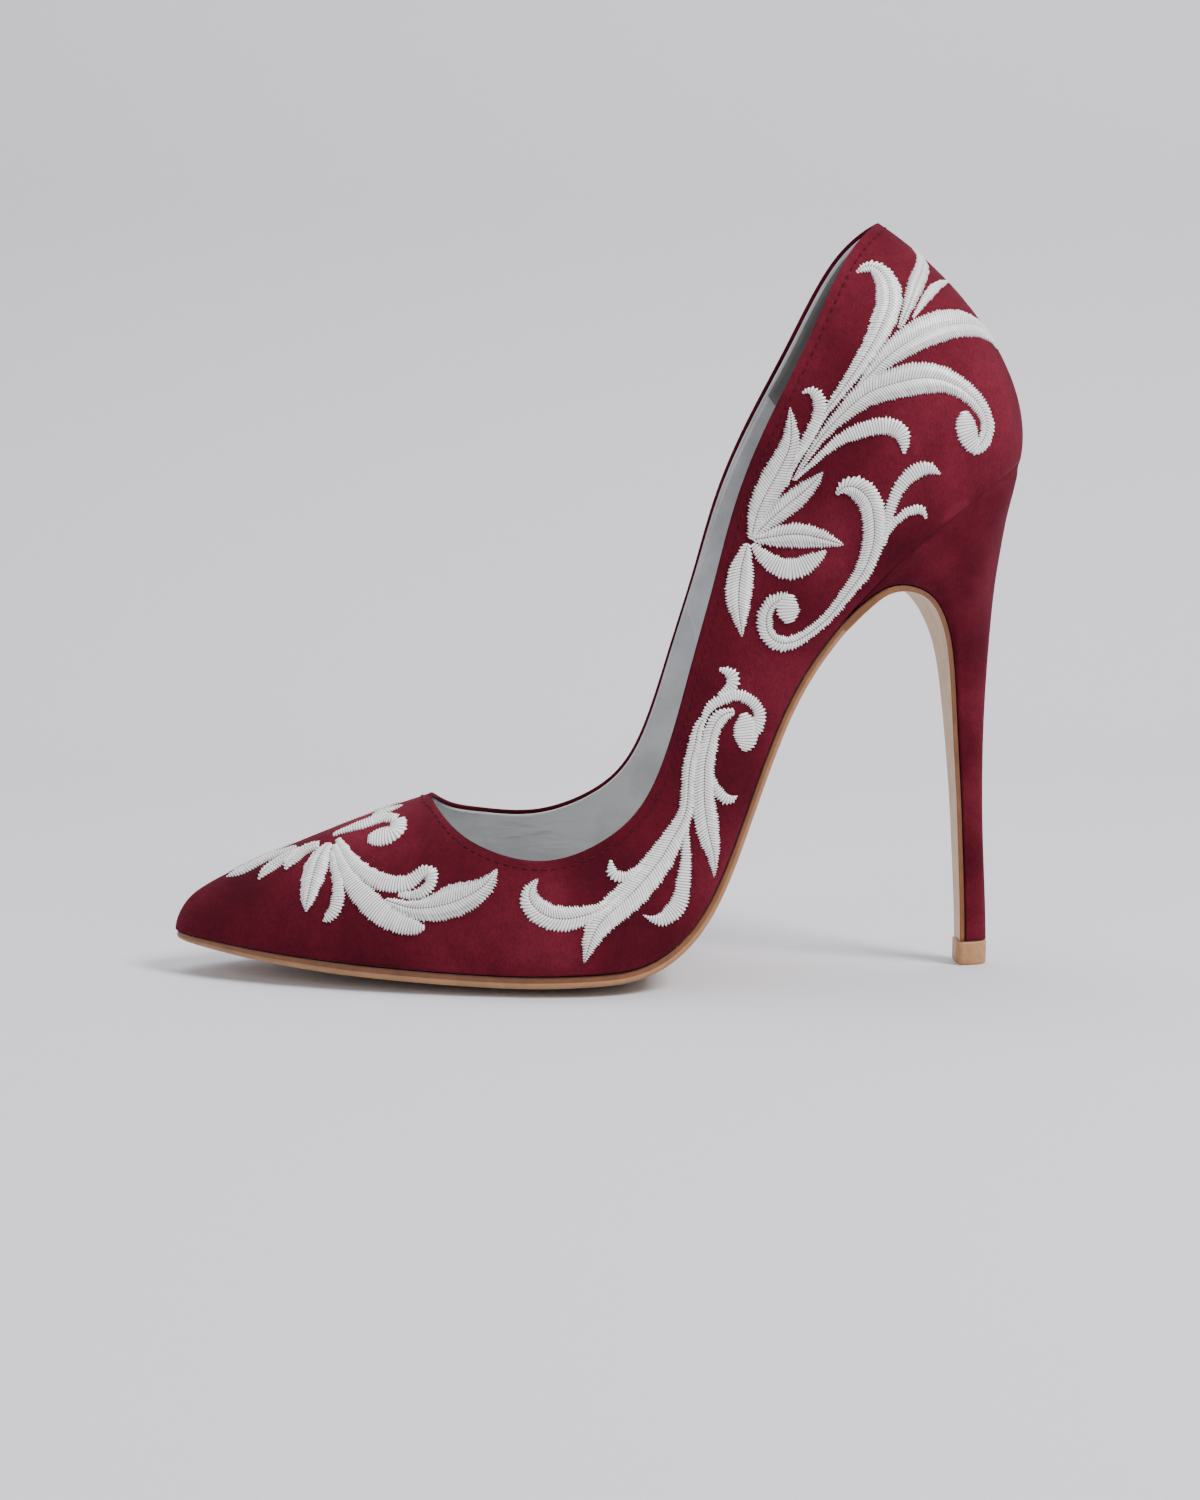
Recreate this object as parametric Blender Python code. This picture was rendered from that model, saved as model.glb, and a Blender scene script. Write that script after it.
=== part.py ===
"""A pointed stiletto pump: suede upper, insole board, leather outsole, covered heel and top lift.

The left shoe stands on its forepart and its heel tip. +Z is up, the toe points to -X, the inner
side of the foot is +Y, and the origin is the middle of the heel tip on the floor. The sizes below
are in millimetres, and the shoe is built in metres.
"""
import bpy
import bmesh
import numpy as np
from collections import namedtuple
from math import cos, pi, sin, sqrt
from mathutils import Vector

MM = 0.001

# The last
SHOE_LENGTH = 196.8       # toe tip to the furthest point of the heel seat, along the floor
BACK_REACH = 9.6          # the seat reaches this far behind the middle of the heel tip
HEEL_HEIGHT = 119.5       # floor to the seat edge at the back
TOE_SPRING = 7.2          # lift of the bed at the toe tip over the bed at the ball
BALL_WIDTH = 70.0         # bed width across the ball
TOE_SWING = 4.0           # the toe tip lies this far to the inner side
BED_RADIUS = 236.0        # the bed is hollow across the foot, on this radius
VAMP_HEIGHT = 39.2        # bed at the ball to the top of the vamp at the throat
BACK_HEIGHT = 53.4        # height of the back seam over the seat edge
COLLAR_WIDTH = 58.0       # widest span across the collar

# The layers
UPPER_WALL = 1.6          # suede and its lining
INSOLE_THICKNESS = 1.8
OUTSOLE_THICKNESS = 2.7   # at the ball
TIP_THICKNESS = 1.6       # the outsole at the tip of the toe
ARCH_THICKNESS = 1.9      # the outsole under the arch
FLAP_THICKNESS = 1.1      # the outsole where it covers the breast of the heel
OUTSOLE_INSET = 0.5       # the outsole's edge lies this far inside the feather line
FIT_GAP = 0.3             # clearance left between pieces
LIFT_HEIGHT = 5.6
LIFT_WIDTH = 7.7
LIFT_BACK = 3.9           # the lift's back edge behind its middle
LIFT_FRONT = 3.4          # the lift's front edge ahead of its middle
FOREPART_SINK = 0.3       # how much of the ball's curve is trodden flat
HEEL_LIP = 0.5            # thickness of the heel's front edge under the arch
INSOLE_SLACK = 0.2        # the insole board is cut this much narrower than the lining's inside
LIFT_MARGIN = 0.1         # the lift stands this far out round the stem above it

# Feather line, where the upper meets the bed. Shares: along of SHOE_LENGTH from the toe tip,
# spring of TOE_SPRING, rise of HEEL_HEIGHT, outer and inner of half the BALL_WIDTH.
Feather = namedtuple("Feather", "along spring rise outer inner swing")
FEATHER = [Feather(*row) for row in (
    (0.000, 1.00, 0.000, 0.000, 0.000, 1.00),
    (0.019, 0.95, 0.000, 0.170, 0.170, 0.93),
    (0.057, 0.84, 0.000, 0.325, 0.325, 0.82),
    (0.118, 0.63, 0.000, 0.510, 0.510, 0.66),
    (0.196, 0.40, 0.000, 0.692, 0.692, 0.52),
    (0.272, 0.22, 0.000, 0.832, 0.832, 0.40),
    (0.346, 0.08, 0.000, 0.932, 0.932, 0.26),
    (0.415, 0.00, 0.000, 0.990, 0.990, 0.10),
    (0.483, 0.00, 0.002, 1.000, 0.965, 0.00),
    (0.550, 0.00, 0.020, 0.915, 0.830, 0.00),
    (0.611, 0.00, 0.107, 0.780, 0.680, 0.00),
    (0.659, 0.00, 0.281, 0.690, 0.590, 0.00),
    (0.711, 0.00, 0.502, 0.635, 0.560, 0.00),
    (0.771, 0.00, 0.654, 0.630, 0.585, 0.00),
    (0.839, 0.00, 0.773, 0.655, 0.630, 0.00),
    (0.916, 0.00, 0.877, 0.610, 0.600, 0.00),
    (0.974, 0.00, 0.947, 0.410, 0.405, 0.00),
    (1.000, 0.00, 0.975, 0.000, 0.000, 0.00),
)]

# Ridge of the vamp, from the nose to the throat. Shares: along of SHOE_LENGTH, height of
# VAMP_HEIGHT over the bed at the ball.
Ridge = namedtuple("Ridge", "along height swing")
RIDGE = [Ridge(*row) for row in (
    (0.031, 0.425, 1.00),
    (0.048, 0.478, 0.95),
    (0.085, 0.568, 0.84),
    (0.145, 0.698, 0.68),
    (0.222, 0.850, 0.50),
    (0.304, 0.992, 0.30),
)]
THROAT = len(RIDGE) - 1

# Collar line, from the throat to the top of the back. Shares: along of SHOE_LENGTH, vamp and
# inner_vamp of VAMP_HEIGHT, back of the height of the back's top, outer and inner of half
# COLLAR_WIDTH. The two heights add up, over the bed at the ball.
Collar = namedtuple("Collar", "along vamp inner_vamp back outer inner")
COLLAR = [Collar(*row) for row in (
    (0.304, 0.992, 0.992, 0.000, 0.000, 0.000),
    (0.325, 0.872, 0.900, 0.000, 0.490, 0.490),
    (0.370, 0.752, 0.825, 0.000, 0.830, 0.820),
    (0.436, 0.708, 0.800, 0.000, 0.980, 0.950),
    (0.505, 0.735, 0.810, 0.025, 1.000, 0.960),
    (0.558, 0.640, 0.690, 0.120, 0.945, 0.920),
    (0.597, 0.320, 0.335, 0.333, 0.870, 0.860),
    (0.626, 0.060, 0.060, 0.510, 0.790, 0.790),
    (0.652, 0.000, 0.000, 0.632, 0.740, 0.730),
    (0.689, 0.000, 0.000, 0.736, 0.690, 0.670),
    (0.735, 0.000, 0.000, 0.842, 0.610, 0.570),
    (0.788, 0.000, 0.000, 0.958, 0.380, 0.340),
    (0.828, 0.000, 0.000, 1.000, 0.000, 0.000),
)]

# Form of each section between feather and top. start and end are shares of the section's chord
# where its curve leaves the feather and reaches the top, belly_low and belly_high its fullness
# there, and crown the flat reach beside the ridge, a share of the section's half width.
Form = namedtuple("Form", "start belly_low end belly_high crown")
FORM = [Form(*row) for row in (
    (0.22, 0.13, 0.34, 0.180, 0.00),
    (0.24, 0.15, 0.12, 0.070, 0.42),
    (0.24, 0.18, 0.02, 0.010, 0.58),
    (0.24, 0.20, 0.00, 0.000, 0.60),
    (0.25, 0.21, 0.00, 0.000, 0.57),
    (0.27, 0.20, 0.01, 0.002, 0.50),
    (0.29, 0.20, 0.07, 0.012, 0.36),
    (0.31, 0.20, 0.16, 0.030, 0.26),
    (0.32, 0.19, 0.25, 0.045, 0.14),
    (0.32, 0.17, 0.31, 0.050, 0.00),
    (0.32, 0.15, 0.33, 0.040, 0.00),
    (0.32, 0.12, 0.33, 0.030, 0.00),
    (0.32, 0.10, 0.33, 0.020, 0.00),
    (0.31, 0.11, 0.33, 0.030, 0.00),
    (0.30, 0.14, 0.34, 0.060, 0.00),
    (0.28, 0.16, 0.35, 0.100, 0.00),
    (0.22, 0.175, 0.37, 0.150, 0.00),
    (0.19, 0.18, 0.39, 0.182, 0.00),
)]
LAST_ROW = len(FORM) - 1
OUTER, INNER = -1, 1

# Breast of the heel, from the end of the arch down to the lift: the back of the outsole's flap,
# and the heel's section that meets it. Shares: along and back_along of SHOE_LENGTH, rise and
# back_rise of HEEL_HEIGHT, the flap's width and the section's wing of half BALL_WIDTH.
Breast = namedtuple("Breast", "along rise width back_along back_rise wing")
BREAST = [Breast(*row) for row in (
    (0.7940, 0.711, 0.615, 0.998, 0.990, 0.640),
    (0.8200, 0.745, 0.595, 0.997, 0.980, 0.620),
    (0.8460, 0.758, 0.565, 0.996, 0.964, 0.590),
    (0.8740, 0.748, 0.500, 0.991, 0.930, 0.545),
    (0.8950, 0.716, 0.415, 0.984, 0.880, 0.470),
    (0.9090, 0.668, 0.325, 0.978, 0.815, 0.370),
    (0.9190, 0.594, 0.235, 0.971, 0.715, 0.262),
    (0.9270, 0.460, 0.165, 0.964, 0.520, 0.180),
    (0.9330, 0.335, 0.137, 0.963, 0.360, 0.146),
    (0.9365, 0.234, 0.124, 0.965, 0.247, 0.130),
    (0.9400, 0.117, 0.112, 0.969, 0.121, 0.116),
)]
BALL_ROW = 8              # row of the feather table behind which the outsole thins
THINNING_ROWS = 3         # and over how many rows it does
TIP_ROWS = 4              # ahead of this row it thins towards the tip
SEAT_ROW = 11             # the heel seat's outline lies behind this row


def spline_slopes(points, closed):
    """Slopes of the smoothest cubic curve through evenly counted points."""
    count = len(points)
    matrix = np.zeros((count, count))
    right = np.zeros_like(points)
    for i in range(count):
        before, after = (i - 1) % count, (i + 1) % count
        matrix[i, i] = 4.0
        if not closed and i in (0, count - 1):
            matrix[i, i] = 2.0
            before, after = max(i - 1, 0), min(i + 1, count - 1)
        if before != i:
            matrix[i, before] += 1.0
        if after != i:
            matrix[i, after] += 1.0
        right[i] = 3.0 * (points[after] - points[before])
    return np.linalg.solve(matrix, right)


class Curve:
    """A smooth curve through a table's rows, read at any place between them."""

    def __init__(self, points, closed):
        self.points = np.array(points, float)
        self.closed = closed
        self.slopes = spline_slopes(self.points, closed)

    def at(self, place):
        count = len(self.points)
        if self.closed:
            place = place % count
            low = int(place) % count
            high = (low + 1) % count
        else:
            low = min(max(int(place), 0), count - 2)
            high = low + 1
        t = place - int(place) if self.closed else place - low
        p, q = self.points[low], self.points[high]
        a, b = self.slopes[low], self.slopes[high]
        return (p * (2 * t**3 - 3 * t**2 + 1) + a * (t**3 - 2 * t**2 + t)
                + q * (3 * t**2 - 2 * t**3) + b * (t**3 - t**2))


def both_sides(rows, point):
    """Points of a closed line: the outer side row by row, then the inner side back again."""
    outer = [point(row, OUTER) for row in rows]
    inner = [point(row, INNER) for row in rows[1:-1]]
    return outer + inner[::-1]


BALL_BED = OUTSOLE_THICKNESS + FIT_GAP - FOREPART_SINK
HALF_BALL = BALL_WIDTH / 2
HALF_COLLAR = COLLAR_WIDTH / 2
TOE_TIP = BACK_REACH - SHOE_LENGTH
BACK_TOP = HEEL_HEIGHT + BACK_HEIGHT - BALL_BED


def place_x(share):
    return TOE_TIP + share * SHOE_LENGTH


def feather_row(row, side):
    """One point of the feather line: its place in plan and the bed's height at its middle."""
    width = row.outer if side == OUTER else row.inner
    middle = BALL_BED + row.spring * TOE_SPRING + row.rise * HEEL_HEIGHT
    return (place_x(row.along), side * width * HALF_BALL + row.swing * TOE_SWING, middle)


def collar_row(row, side):
    """One point of the collar line. Its fore part swings with the vamp's ridge."""
    lift = row.vamp if side == OUTER else row.inner_vamp
    width = row.outer if side == OUTER else row.inner
    on_vamp = row.vamp > 0.5
    swing = RIDGE[-1].swing * TOE_SWING * max(0.0, 1.0 - width) * on_vamp
    height = BALL_BED + lift * VAMP_HEIGHT + row.back * BACK_TOP
    return (place_x(row.along), side * width * HALF_COLLAR + swing, height)


def ridge_row(row):
    return (place_x(row.along), row.swing * TOE_SWING, BALL_BED + row.height * VAMP_HEIGHT)


FEATHER_LINE = Curve(both_sides(FEATHER, feather_row), True)
COLLAR_LINE = Curve(both_sides(COLLAR, collar_row), True)
RIDGE_LINE = Curve([ridge_row(row) for row in RIDGE], False)
FORM_LINE = Curve(both_sides(FORM, lambda row, side: row), True)


def loop_place(curve, row, side):
    """Where a row of one side lies on a closed line of both sides."""
    return row if side == OUTER else len(curve.points) - row


BED_STEPS_FINE = 800
BED_SAMPLES = [FEATHER_LINE.at(LAST_ROW * k / BED_STEPS_FINE) for k in range(BED_STEPS_FINE + 1)]
BED_X = [sample[0] for sample in BED_SAMPLES]
BED_Z = [sample[2] for sample in BED_SAMPLES]
SLOPE_STEP = 0.8          # the bed's slope is measured this far to each side
RUN_STEP = 0.02           # and a line's direction this many rows to each side


def bed_point(x, y, lift):
    """A point of the bed under the foot, moved off it by lift along its slope."""
    height = np.interp(x, BED_X, BED_Z)
    low, high = max(x - SLOPE_STEP, BED_X[0]), min(x + SLOPE_STEP, BED_X[-1])
    slope = (np.interp(high, BED_X, BED_Z) - np.interp(low, BED_X, BED_Z)) / (high - low)
    size = sqrt(1.0 + slope * slope)
    return np.array([x - lift * slope / size, y, height + y * y / (2 * BED_RADIUS) + lift / size])


def direction(curve, place):
    return curve.at(place + RUN_STEP) - curve.at(place - RUN_STEP)


def feather_edge(side, row, inset):
    """The feather line in plan, drawn in by inset."""
    place = loop_place(FEATHER_LINE, row, side)
    x, y, _ = FEATHER_LINE.at(place)
    run = direction(FEATHER_LINE, place)
    size = sqrt(run[0] ** 2 + run[1] ** 2)
    return x - inset * run[1] / size, y + inset * run[0] / size


def section_point(side, row, t):
    """A point of the upper's outer face, from the feather at t=0 to the top at t=1."""
    place = loop_place(FEATHER_LINE, row, side)
    x, y, _ = FEATHER_LINE.at(place)
    foot = bed_point(x, y, 0.0)
    if row <= THROAT:
        top = RIDGE_LINE.at(row)
    else:
        top = COLLAR_LINE.at(loop_place(COLLAR_LINE, row - THROAT, side))
    form = Form(*FORM_LINE.at(row))
    rise = top - foot
    chord = np.linalg.norm(rise)
    out = np.cross(direction(FEATHER_LINE, place), rise)
    out = out / np.linalg.norm(out)
    low = foot + form.start * rise + form.belly_low * chord * out
    crown = np.array([0.0, side * form.crown * abs(foot[1] - top[1]), 0.0])
    high = top - form.end * rise + form.belly_high * chord * out + crown
    s = 1.0 - t
    return foot * s**3 + low * 3 * s * s * t + high * 3 * s * t * t + top * t**3


def spaced_rows(steps):
    """Rows between the table's rows, steps[i] of them from row i to the next."""
    rows = [i + k / count for i, count in enumerate(steps) for k in range(count)]
    return rows + [float(len(steps))]


UPPER_STEPS = (4, 3, 3, 3, 3, 5, 4, 3, 3, 3, 3, 3, 3, 3, 3, 4, 5)
BED_STEPS = (4, 3, 3, 2, 2, 2, 3, 3, 3, 3, 4, 3, 3, 2, 2, 3, 4)
ARCH_ROWS = 13            # the outsole follows the bed up to this row of the feather table
UPPER_COLUMNS = 12
ACROSS = 8
FLAP_STEPS = 3            # rows of faces from one row of the breast table to the next
WELD = 0.0005             # points closer than this are one
ON_BED = 0.01             # a rim point this close to the bed's height lies on it


def principled(name, colour, roughness):
    material = bpy.data.materials.new(name)
    material.use_nodes = True
    shader = material.node_tree.nodes["Principled BSDF"]
    shader.inputs["Base Color"].default_value = (*colour, 1.0)
    shader.inputs["Roughness"].default_value = roughness
    material.diffuse_color = (*colour, 1.0)
    return material


def add_object(name, model, material, sharp_angle):
    """Turn a mesh in millimetres into a named object in metres."""
    bmesh.ops.remove_doubles(model, verts=model.verts, dist=WELD)
    bmesh.ops.dissolve_degenerate(model, edges=model.edges, dist=WELD)
    bmesh.ops.recalc_face_normals(model, faces=model.faces)
    bmesh.ops.scale(model, vec=Vector((MM, MM, MM)), verts=model.verts)
    mesh = bpy.data.meshes.new(name)
    model.to_mesh(mesh)
    model.free()
    mesh.materials.append(material)
    mesh.shade_smooth()
    mesh.set_sharp_from_angle(angle=sharp_angle * pi / 180)
    piece = bpy.data.objects.new(name, mesh)
    bpy.context.scene.collection.objects.link(piece)
    return piece


def add_quads(model, grid, flip=False):
    """Faces between neighbouring rows and columns of a grid of vertices."""
    for first, second in zip(grid, grid[1:]):
        for k in range(len(first) - 1):
            corners = [first[k], first[k + 1], second[k + 1], second[k]]
            model.faces.new(corners[::-1] if flip else corners)


def make_upper(material):
    """The hollow upper: an outer skin, the same skin set in by the wall, and their two rims."""
    model = bmesh.new()
    rows = spaced_rows(UPPER_STEPS)
    for side in (OUTER, INNER):
        grid = []
        for row in rows:
            points = [section_point(side, row, k / UPPER_COLUMNS) for k in range(UPPER_COLUMNS + 1)]
            grid.append([model.verts.new(point) for point in points])
        add_quads(model, grid, flip=side == OUTER)
    bmesh.ops.remove_doubles(model, verts=model.verts, dist=2 * WELD)
    model.normal_update()
    skin = list(model.verts)
    faces = list(model.faces)
    rims = [edge for edge in model.edges if len(edge.link_faces) == 1]
    inside = {}
    for vert in skin:
        place = vert.co - vert.normal * UPPER_WALL
        if abs(vert.co.z - bed_point(vert.co.x, vert.co.y, 0.0)[2]) < ON_BED:
            place = Vector(bed_point(place.x, place.y, 0.0))
        inside[vert] = model.verts.new(place)
    for face in faces:
        model.faces.new([inside[vert] for vert in reversed(face.verts)])
    for edge in rims:
        a, b = edge.verts
        model.faces.new([a, b, inside[b], inside[a]])
    return add_object("upper", model, material, 60)


def grid_rim(rows, columns):
    """Row and column of each vertex round the edge of a grid, in order."""
    rim = [(0, k) for k in range(columns)]
    rim += [(i, columns - 1) for i in range(1, rows)]
    rim += [(rows - 1, k) for k in range(columns - 2, -1, -1)]
    rim += [(i, 0) for i in range(rows - 2, 0, -1)]
    return rim


def make_stack(name, layers, material, sharp_angle):
    """A closed solid through layers, each a grid of points: the end layers are its two faces."""
    model = bmesh.new()
    grids = [[[model.verts.new(point) for point in row] for row in layer] for layer in layers]
    add_quads(model, grids[0])
    add_quads(model, grids[-1], flip=True)
    rim = grid_rim(len(layers[0]), len(layers[0][0]))
    for low, high in zip(grids, grids[1:]):
        for (i, k), (m, n) in zip(rim, rim[1:] + rim[:1]):
            model.faces.new([low[i][k], low[m][n], high[m][n], high[i][k]])
    for grid in grids[1:-1]:
        loose = [vert for row in grid for vert in row if not vert.link_faces]
        for vert in loose:
            model.verts.remove(vert)
    return add_object(name, model, material, sharp_angle)


def across(start, end):
    """Points in plan from one edge to the other."""
    return [(start[0] + (end[0] - start[0]) * k / ACROSS, start[1] + (end[1] - start[1]) * k / ACROSS)
            for k in range(ACROSS + 1)]


def bed_rows(rows, inset, lift):
    """Grid of points over the bed between the two feather lines."""
    grid = []
    for row in rows:
        line = across(feather_edge(OUTER, row, inset), feather_edge(INNER, row, inset))
        grid.append([bed_point(x, y, lift) for x, y in line])
    return grid


def make_insole(material):
    """The insole board inside the upper, on the same bed."""
    inset = UPPER_WALL + FIT_GAP + INSOLE_SLACK
    rows = spaced_rows(BED_STEPS)
    return make_stack("insole", [bed_rows(rows, inset, 0.0), bed_rows(rows, inset, INSOLE_THICKNESS)],
                      material, 40)


def breast_row(row):
    """The flap's face in x, z and half width, then the back of the heel's section likewise."""
    return (place_x(row.along), row.rise * HEEL_HEIGHT, row.width * HALF_BALL,
            place_x(row.back_along), row.back_rise * HEEL_HEIGHT, row.wing * HALF_BALL)


STEM_FOOT = LIFT_HEIGHT + FIT_GAP
STEM_HALF = LIFT_WIDTH / 2 - LIFT_MARGIN
STEM_END = (-LIFT_FRONT + FLAP_THICKNESS + FIT_GAP, STEM_FOOT, STEM_HALF,
            LIFT_BACK - LIFT_MARGIN, STEM_FOOT, STEM_HALF)
BREAST_LINE = Curve([breast_row(row) for row in BREAST] + [STEM_END], False)
BREAST_END = len(BREAST)


def flap_hollow(row, y):
    """How far the flap's edges stand over its middle, fading out below the arch."""
    return max(0.0, 1.0 - row / THINNING_ROWS) * y * y / (2 * BED_RADIUS)


def flap_normal(row):
    """Direction from the flap's face into the heel."""
    run = direction(BREAST_LINE, row)
    size = sqrt(run[0] ** 2 + run[1] ** 2)
    return np.array([-run[1] / size, 0.0, run[0] / size])


def sole_thickness(row):
    """The outsole is thickest at the ball, thinner at the tip of the toe and under the arch."""
    if row < TIP_ROWS:
        return TIP_THICKNESS + (OUTSOLE_THICKNESS - TIP_THICKNESS) * row / TIP_ROWS
    share = min(1.0, max(0.0, (row - BALL_ROW) / THINNING_ROWS))
    return OUTSOLE_THICKNESS + (ARCH_THICKNESS - OUTSOLE_THICKNESS) * share


def make_outsole(material):
    """One leather piece: forepart and arch under the bed, then the flap down the heel's breast."""
    path = []
    for row in spaced_rows(BED_STEPS[:ARCH_ROWS]):
        outer, inner = feather_edge(OUTER, row, OUTSOLE_INSET), feather_edge(INNER, row, OUTSOLE_INSET)
        line = across(outer, inner)
        tops = [bed_point(x, y, -FIT_GAP) for x, y in line]
        lows = [bed_point(x, y, -FIT_GAP - sole_thickness(row)) for x, y in line]
        for low in lows:
            low[2] = max(low[2], 0.0)
        path.append((tops, lows))
    for row in [k / FLAP_STEPS for k in range(FLAP_STEPS * BREAST_END + 1)]:
        x, z, width = BREAST_LINE.at(row)[:3]
        share = min(1.0, row / THINNING_ROWS)
        thick = ARCH_THICKNESS + (FLAP_THICKNESS - ARCH_THICKNESS) * share
        sides = [width * (2 * k / ACROSS - 1) for k in range(ACROSS + 1)]
        tops = [np.array([x, y, z + flap_hollow(row, y)]) for y in sides]
        lows = [top - thick * flap_normal(row) for top in tops]
        path.append((tops, lows))
    return make_stack("outsole", [[lows for _, lows in path], [tops for tops, _ in path]],
                      material, 40)


HEEL_STEPS = 9
SEAT_POWER = 3.2          # a higher power makes a squarer back
STEM_POWER = 2.1
LIFT_POWER = 2.9
ROUNDING = 1.8            # how fast the section changes from the seat's power to the stem's
FLARE_SHARE = 0.4         # the sides reach their full width at this share of the depth
SEAT_STEPS = 400
START_STEP = 0.02


def heel_outline(front_width, wing, power):
    """Outline of a heel section: share of the way from front to back, and half width there."""
    outline = []
    for k in range(HEEL_STEPS + 1):
        angle = pi / 2 * k / HEEL_STEPS
        u = sin(angle) ** (2 / power)
        flare = min(1.0, u / FLARE_SHARE)
        width = (front_width + (wing - front_width) * flare) * cos(angle)
        outline.append((u, width))
    return outline


def heel_start():
    """Row of the breast table where the seat is thick enough for the heel's front edge."""
    row = 0.0
    while True:
        x, z = BREAST_LINE.at(row)[:2]
        if bed_point(x, 0.0, 0.0)[2] - z > HEEL_LIP + 2 * FIT_GAP:
            return row, x
        row += START_STEP


def seat_side(side):
    """The seat's outline on one side, as lists of x and y."""
    rows = [SEAT_ROW + (LAST_ROW - SEAT_ROW) * k / SEAT_STEPS for k in range(SEAT_STEPS + 1)]
    samples = [feather_edge(side, row, FIT_GAP) for row in rows]
    return [sample[0] for sample in samples], [sample[1] for sample in samples]


def make_heel(material):
    """The covered heel: sections that fan from the slanting seat down to the level tip."""
    start, seat_front = heel_start()
    outer_x, outer_y = seat_side(OUTER)
    inner_x, inner_y = seat_side(INNER)
    seat_back = outer_x[-1]
    layer = []
    for u, _ in heel_outline(1.0, 1.0, SEAT_POWER):
        x = seat_front + u * (seat_back - seat_front)
        line = across((x, np.interp(x, outer_x, outer_y)), (x, np.interp(x, inner_x, inner_y)))
        layer.append([bed_point(px, py, -FIT_GAP) for px, py in line])
    layers = [layer]
    first = int(start * FLAP_STEPS) + 1
    rows = [start] + [k / FLAP_STEPS for k in range(first, FLAP_STEPS * BREAST_END + 1)]
    for row in rows:
        x, z, width, back_x, back_z, wing = BREAST_LINE.at(row)
        x, _, z = np.array([x, 0.0, z]) + FIT_GAP * flap_normal(row)
        power = SEAT_POWER + (STEM_POWER - SEAT_POWER) * min(1.0, row / BREAST_END * ROUNDING)
        layer = []
        for u, half in heel_outline(width, wing, power):
            px, pz = x + u * (back_x - x), z + u * (back_z - z)
            sides = [half * (2 * k / ACROSS - 1) for k in range(ACROSS + 1)]
            layer.append([np.array([px, y, pz + (1 - u) * flap_hollow(row, y)]) for y in sides])
        layers.append(layer)
    return make_stack("heel", layers[::-1], material, 50)


def make_top_lift(material):
    """The wearing piece: the stem's last section and the flap's edge together."""
    layers = []
    for height in (0.0, LIFT_HEIGHT):
        layer = []
        for u, half in heel_outline(LIFT_WIDTH / 2, LIFT_WIDTH / 2, LIFT_POWER):
            px = -LIFT_FRONT + u * (LIFT_BACK + LIFT_FRONT)
            layer.append([np.array([px, half * (2 * k / ACROSS - 1), height])
                          for k in range(ACROSS + 1)])
        layers.append(layer)
    return make_stack("top_lift", layers, material, 40)


BURGUNDY = (0.155, 0.012, 0.030)
SILVER_GREY = (0.42, 0.46, 0.45)
TAN = (0.45, 0.24, 0.12)
DARK_TAN = (0.42, 0.22, 0.10)


def build():
    for piece in list(bpy.data.objects):
        bpy.data.objects.remove(piece)
    make_upper(principled("burgundy_suede", BURGUNDY, 0.85))
    make_insole(principled("grey_sock_leather", SILVER_GREY, 0.5))
    make_outsole(principled("tan_sole_leather", TAN, 0.55))
    make_heel(principled("burgundy_heel_suede", BURGUNDY, 0.85))
    make_top_lift(principled("tan_lift_rubber", DARK_TAN, 0.6))


build()
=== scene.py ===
# %% [markdown]
# # A burgundy stiletto pump
# This lesson dresses a imported model of a high-heeled pump: suede over a last, a leather sole,
# a covered heel and raised white embroidery. The imported model gives every size and place, so the
# first step loads it. Nothing here may grow far beyond that box.

# %% Load the imported shoe
from collections import namedtuple
from math import cos, pi, radians, sin, sqrt
import bpy
import bmesh
import numpy as np
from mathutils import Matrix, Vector
from mathutils.bvhtree import BVHTree


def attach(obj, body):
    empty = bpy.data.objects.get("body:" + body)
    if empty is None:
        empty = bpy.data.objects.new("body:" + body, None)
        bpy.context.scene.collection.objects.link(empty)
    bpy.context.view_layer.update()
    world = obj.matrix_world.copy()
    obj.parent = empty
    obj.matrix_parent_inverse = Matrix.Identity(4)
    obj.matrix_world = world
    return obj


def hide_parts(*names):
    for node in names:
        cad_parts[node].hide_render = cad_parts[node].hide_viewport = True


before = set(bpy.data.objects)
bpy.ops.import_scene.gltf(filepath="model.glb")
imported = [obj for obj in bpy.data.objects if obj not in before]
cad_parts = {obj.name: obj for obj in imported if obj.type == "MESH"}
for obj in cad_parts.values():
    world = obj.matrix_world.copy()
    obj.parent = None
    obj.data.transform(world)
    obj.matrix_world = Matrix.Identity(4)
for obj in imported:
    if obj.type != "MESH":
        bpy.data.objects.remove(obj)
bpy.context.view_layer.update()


# %% [markdown]
# ## The last
# A shoe is made on a last, a solid foot shape, and every piece follows it. The shape could be
# sculpted, but a last is better drawn the way a pattern maker measures it: a feather line where
# the upper meets the sole, a ridge along the vamp, a collar line round the foot opening, and the
# fullness of the sections between them. The tables are shares of the real sizes, in millimetres,
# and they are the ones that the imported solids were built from.

# %% Sizes of the last
MM = 0.001
SHOE_LENGTH = 196.8
BACK_REACH = 9.6
HEEL_HEIGHT = 119.5
TOE_SPRING = 7.2
BALL_WIDTH = 70.0
TOE_SWING = 4.0
BED_RADIUS = 236.0
VAMP_HEIGHT = 39.2
BACK_HEIGHT = 53.4
COLLAR_WIDTH = 58.0
OUTSOLE_THICKNESS = 2.7
FIT_GAP = 0.3
FOREPART_SINK = 0.3
OUTER, INNER = -1, 1
BALL_BED = OUTSOLE_THICKNESS + FIT_GAP - FOREPART_SINK
print("shoe", SHOE_LENGTH, "long, heel", HEEL_HEIGHT, "high, in millimetres")

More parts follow.
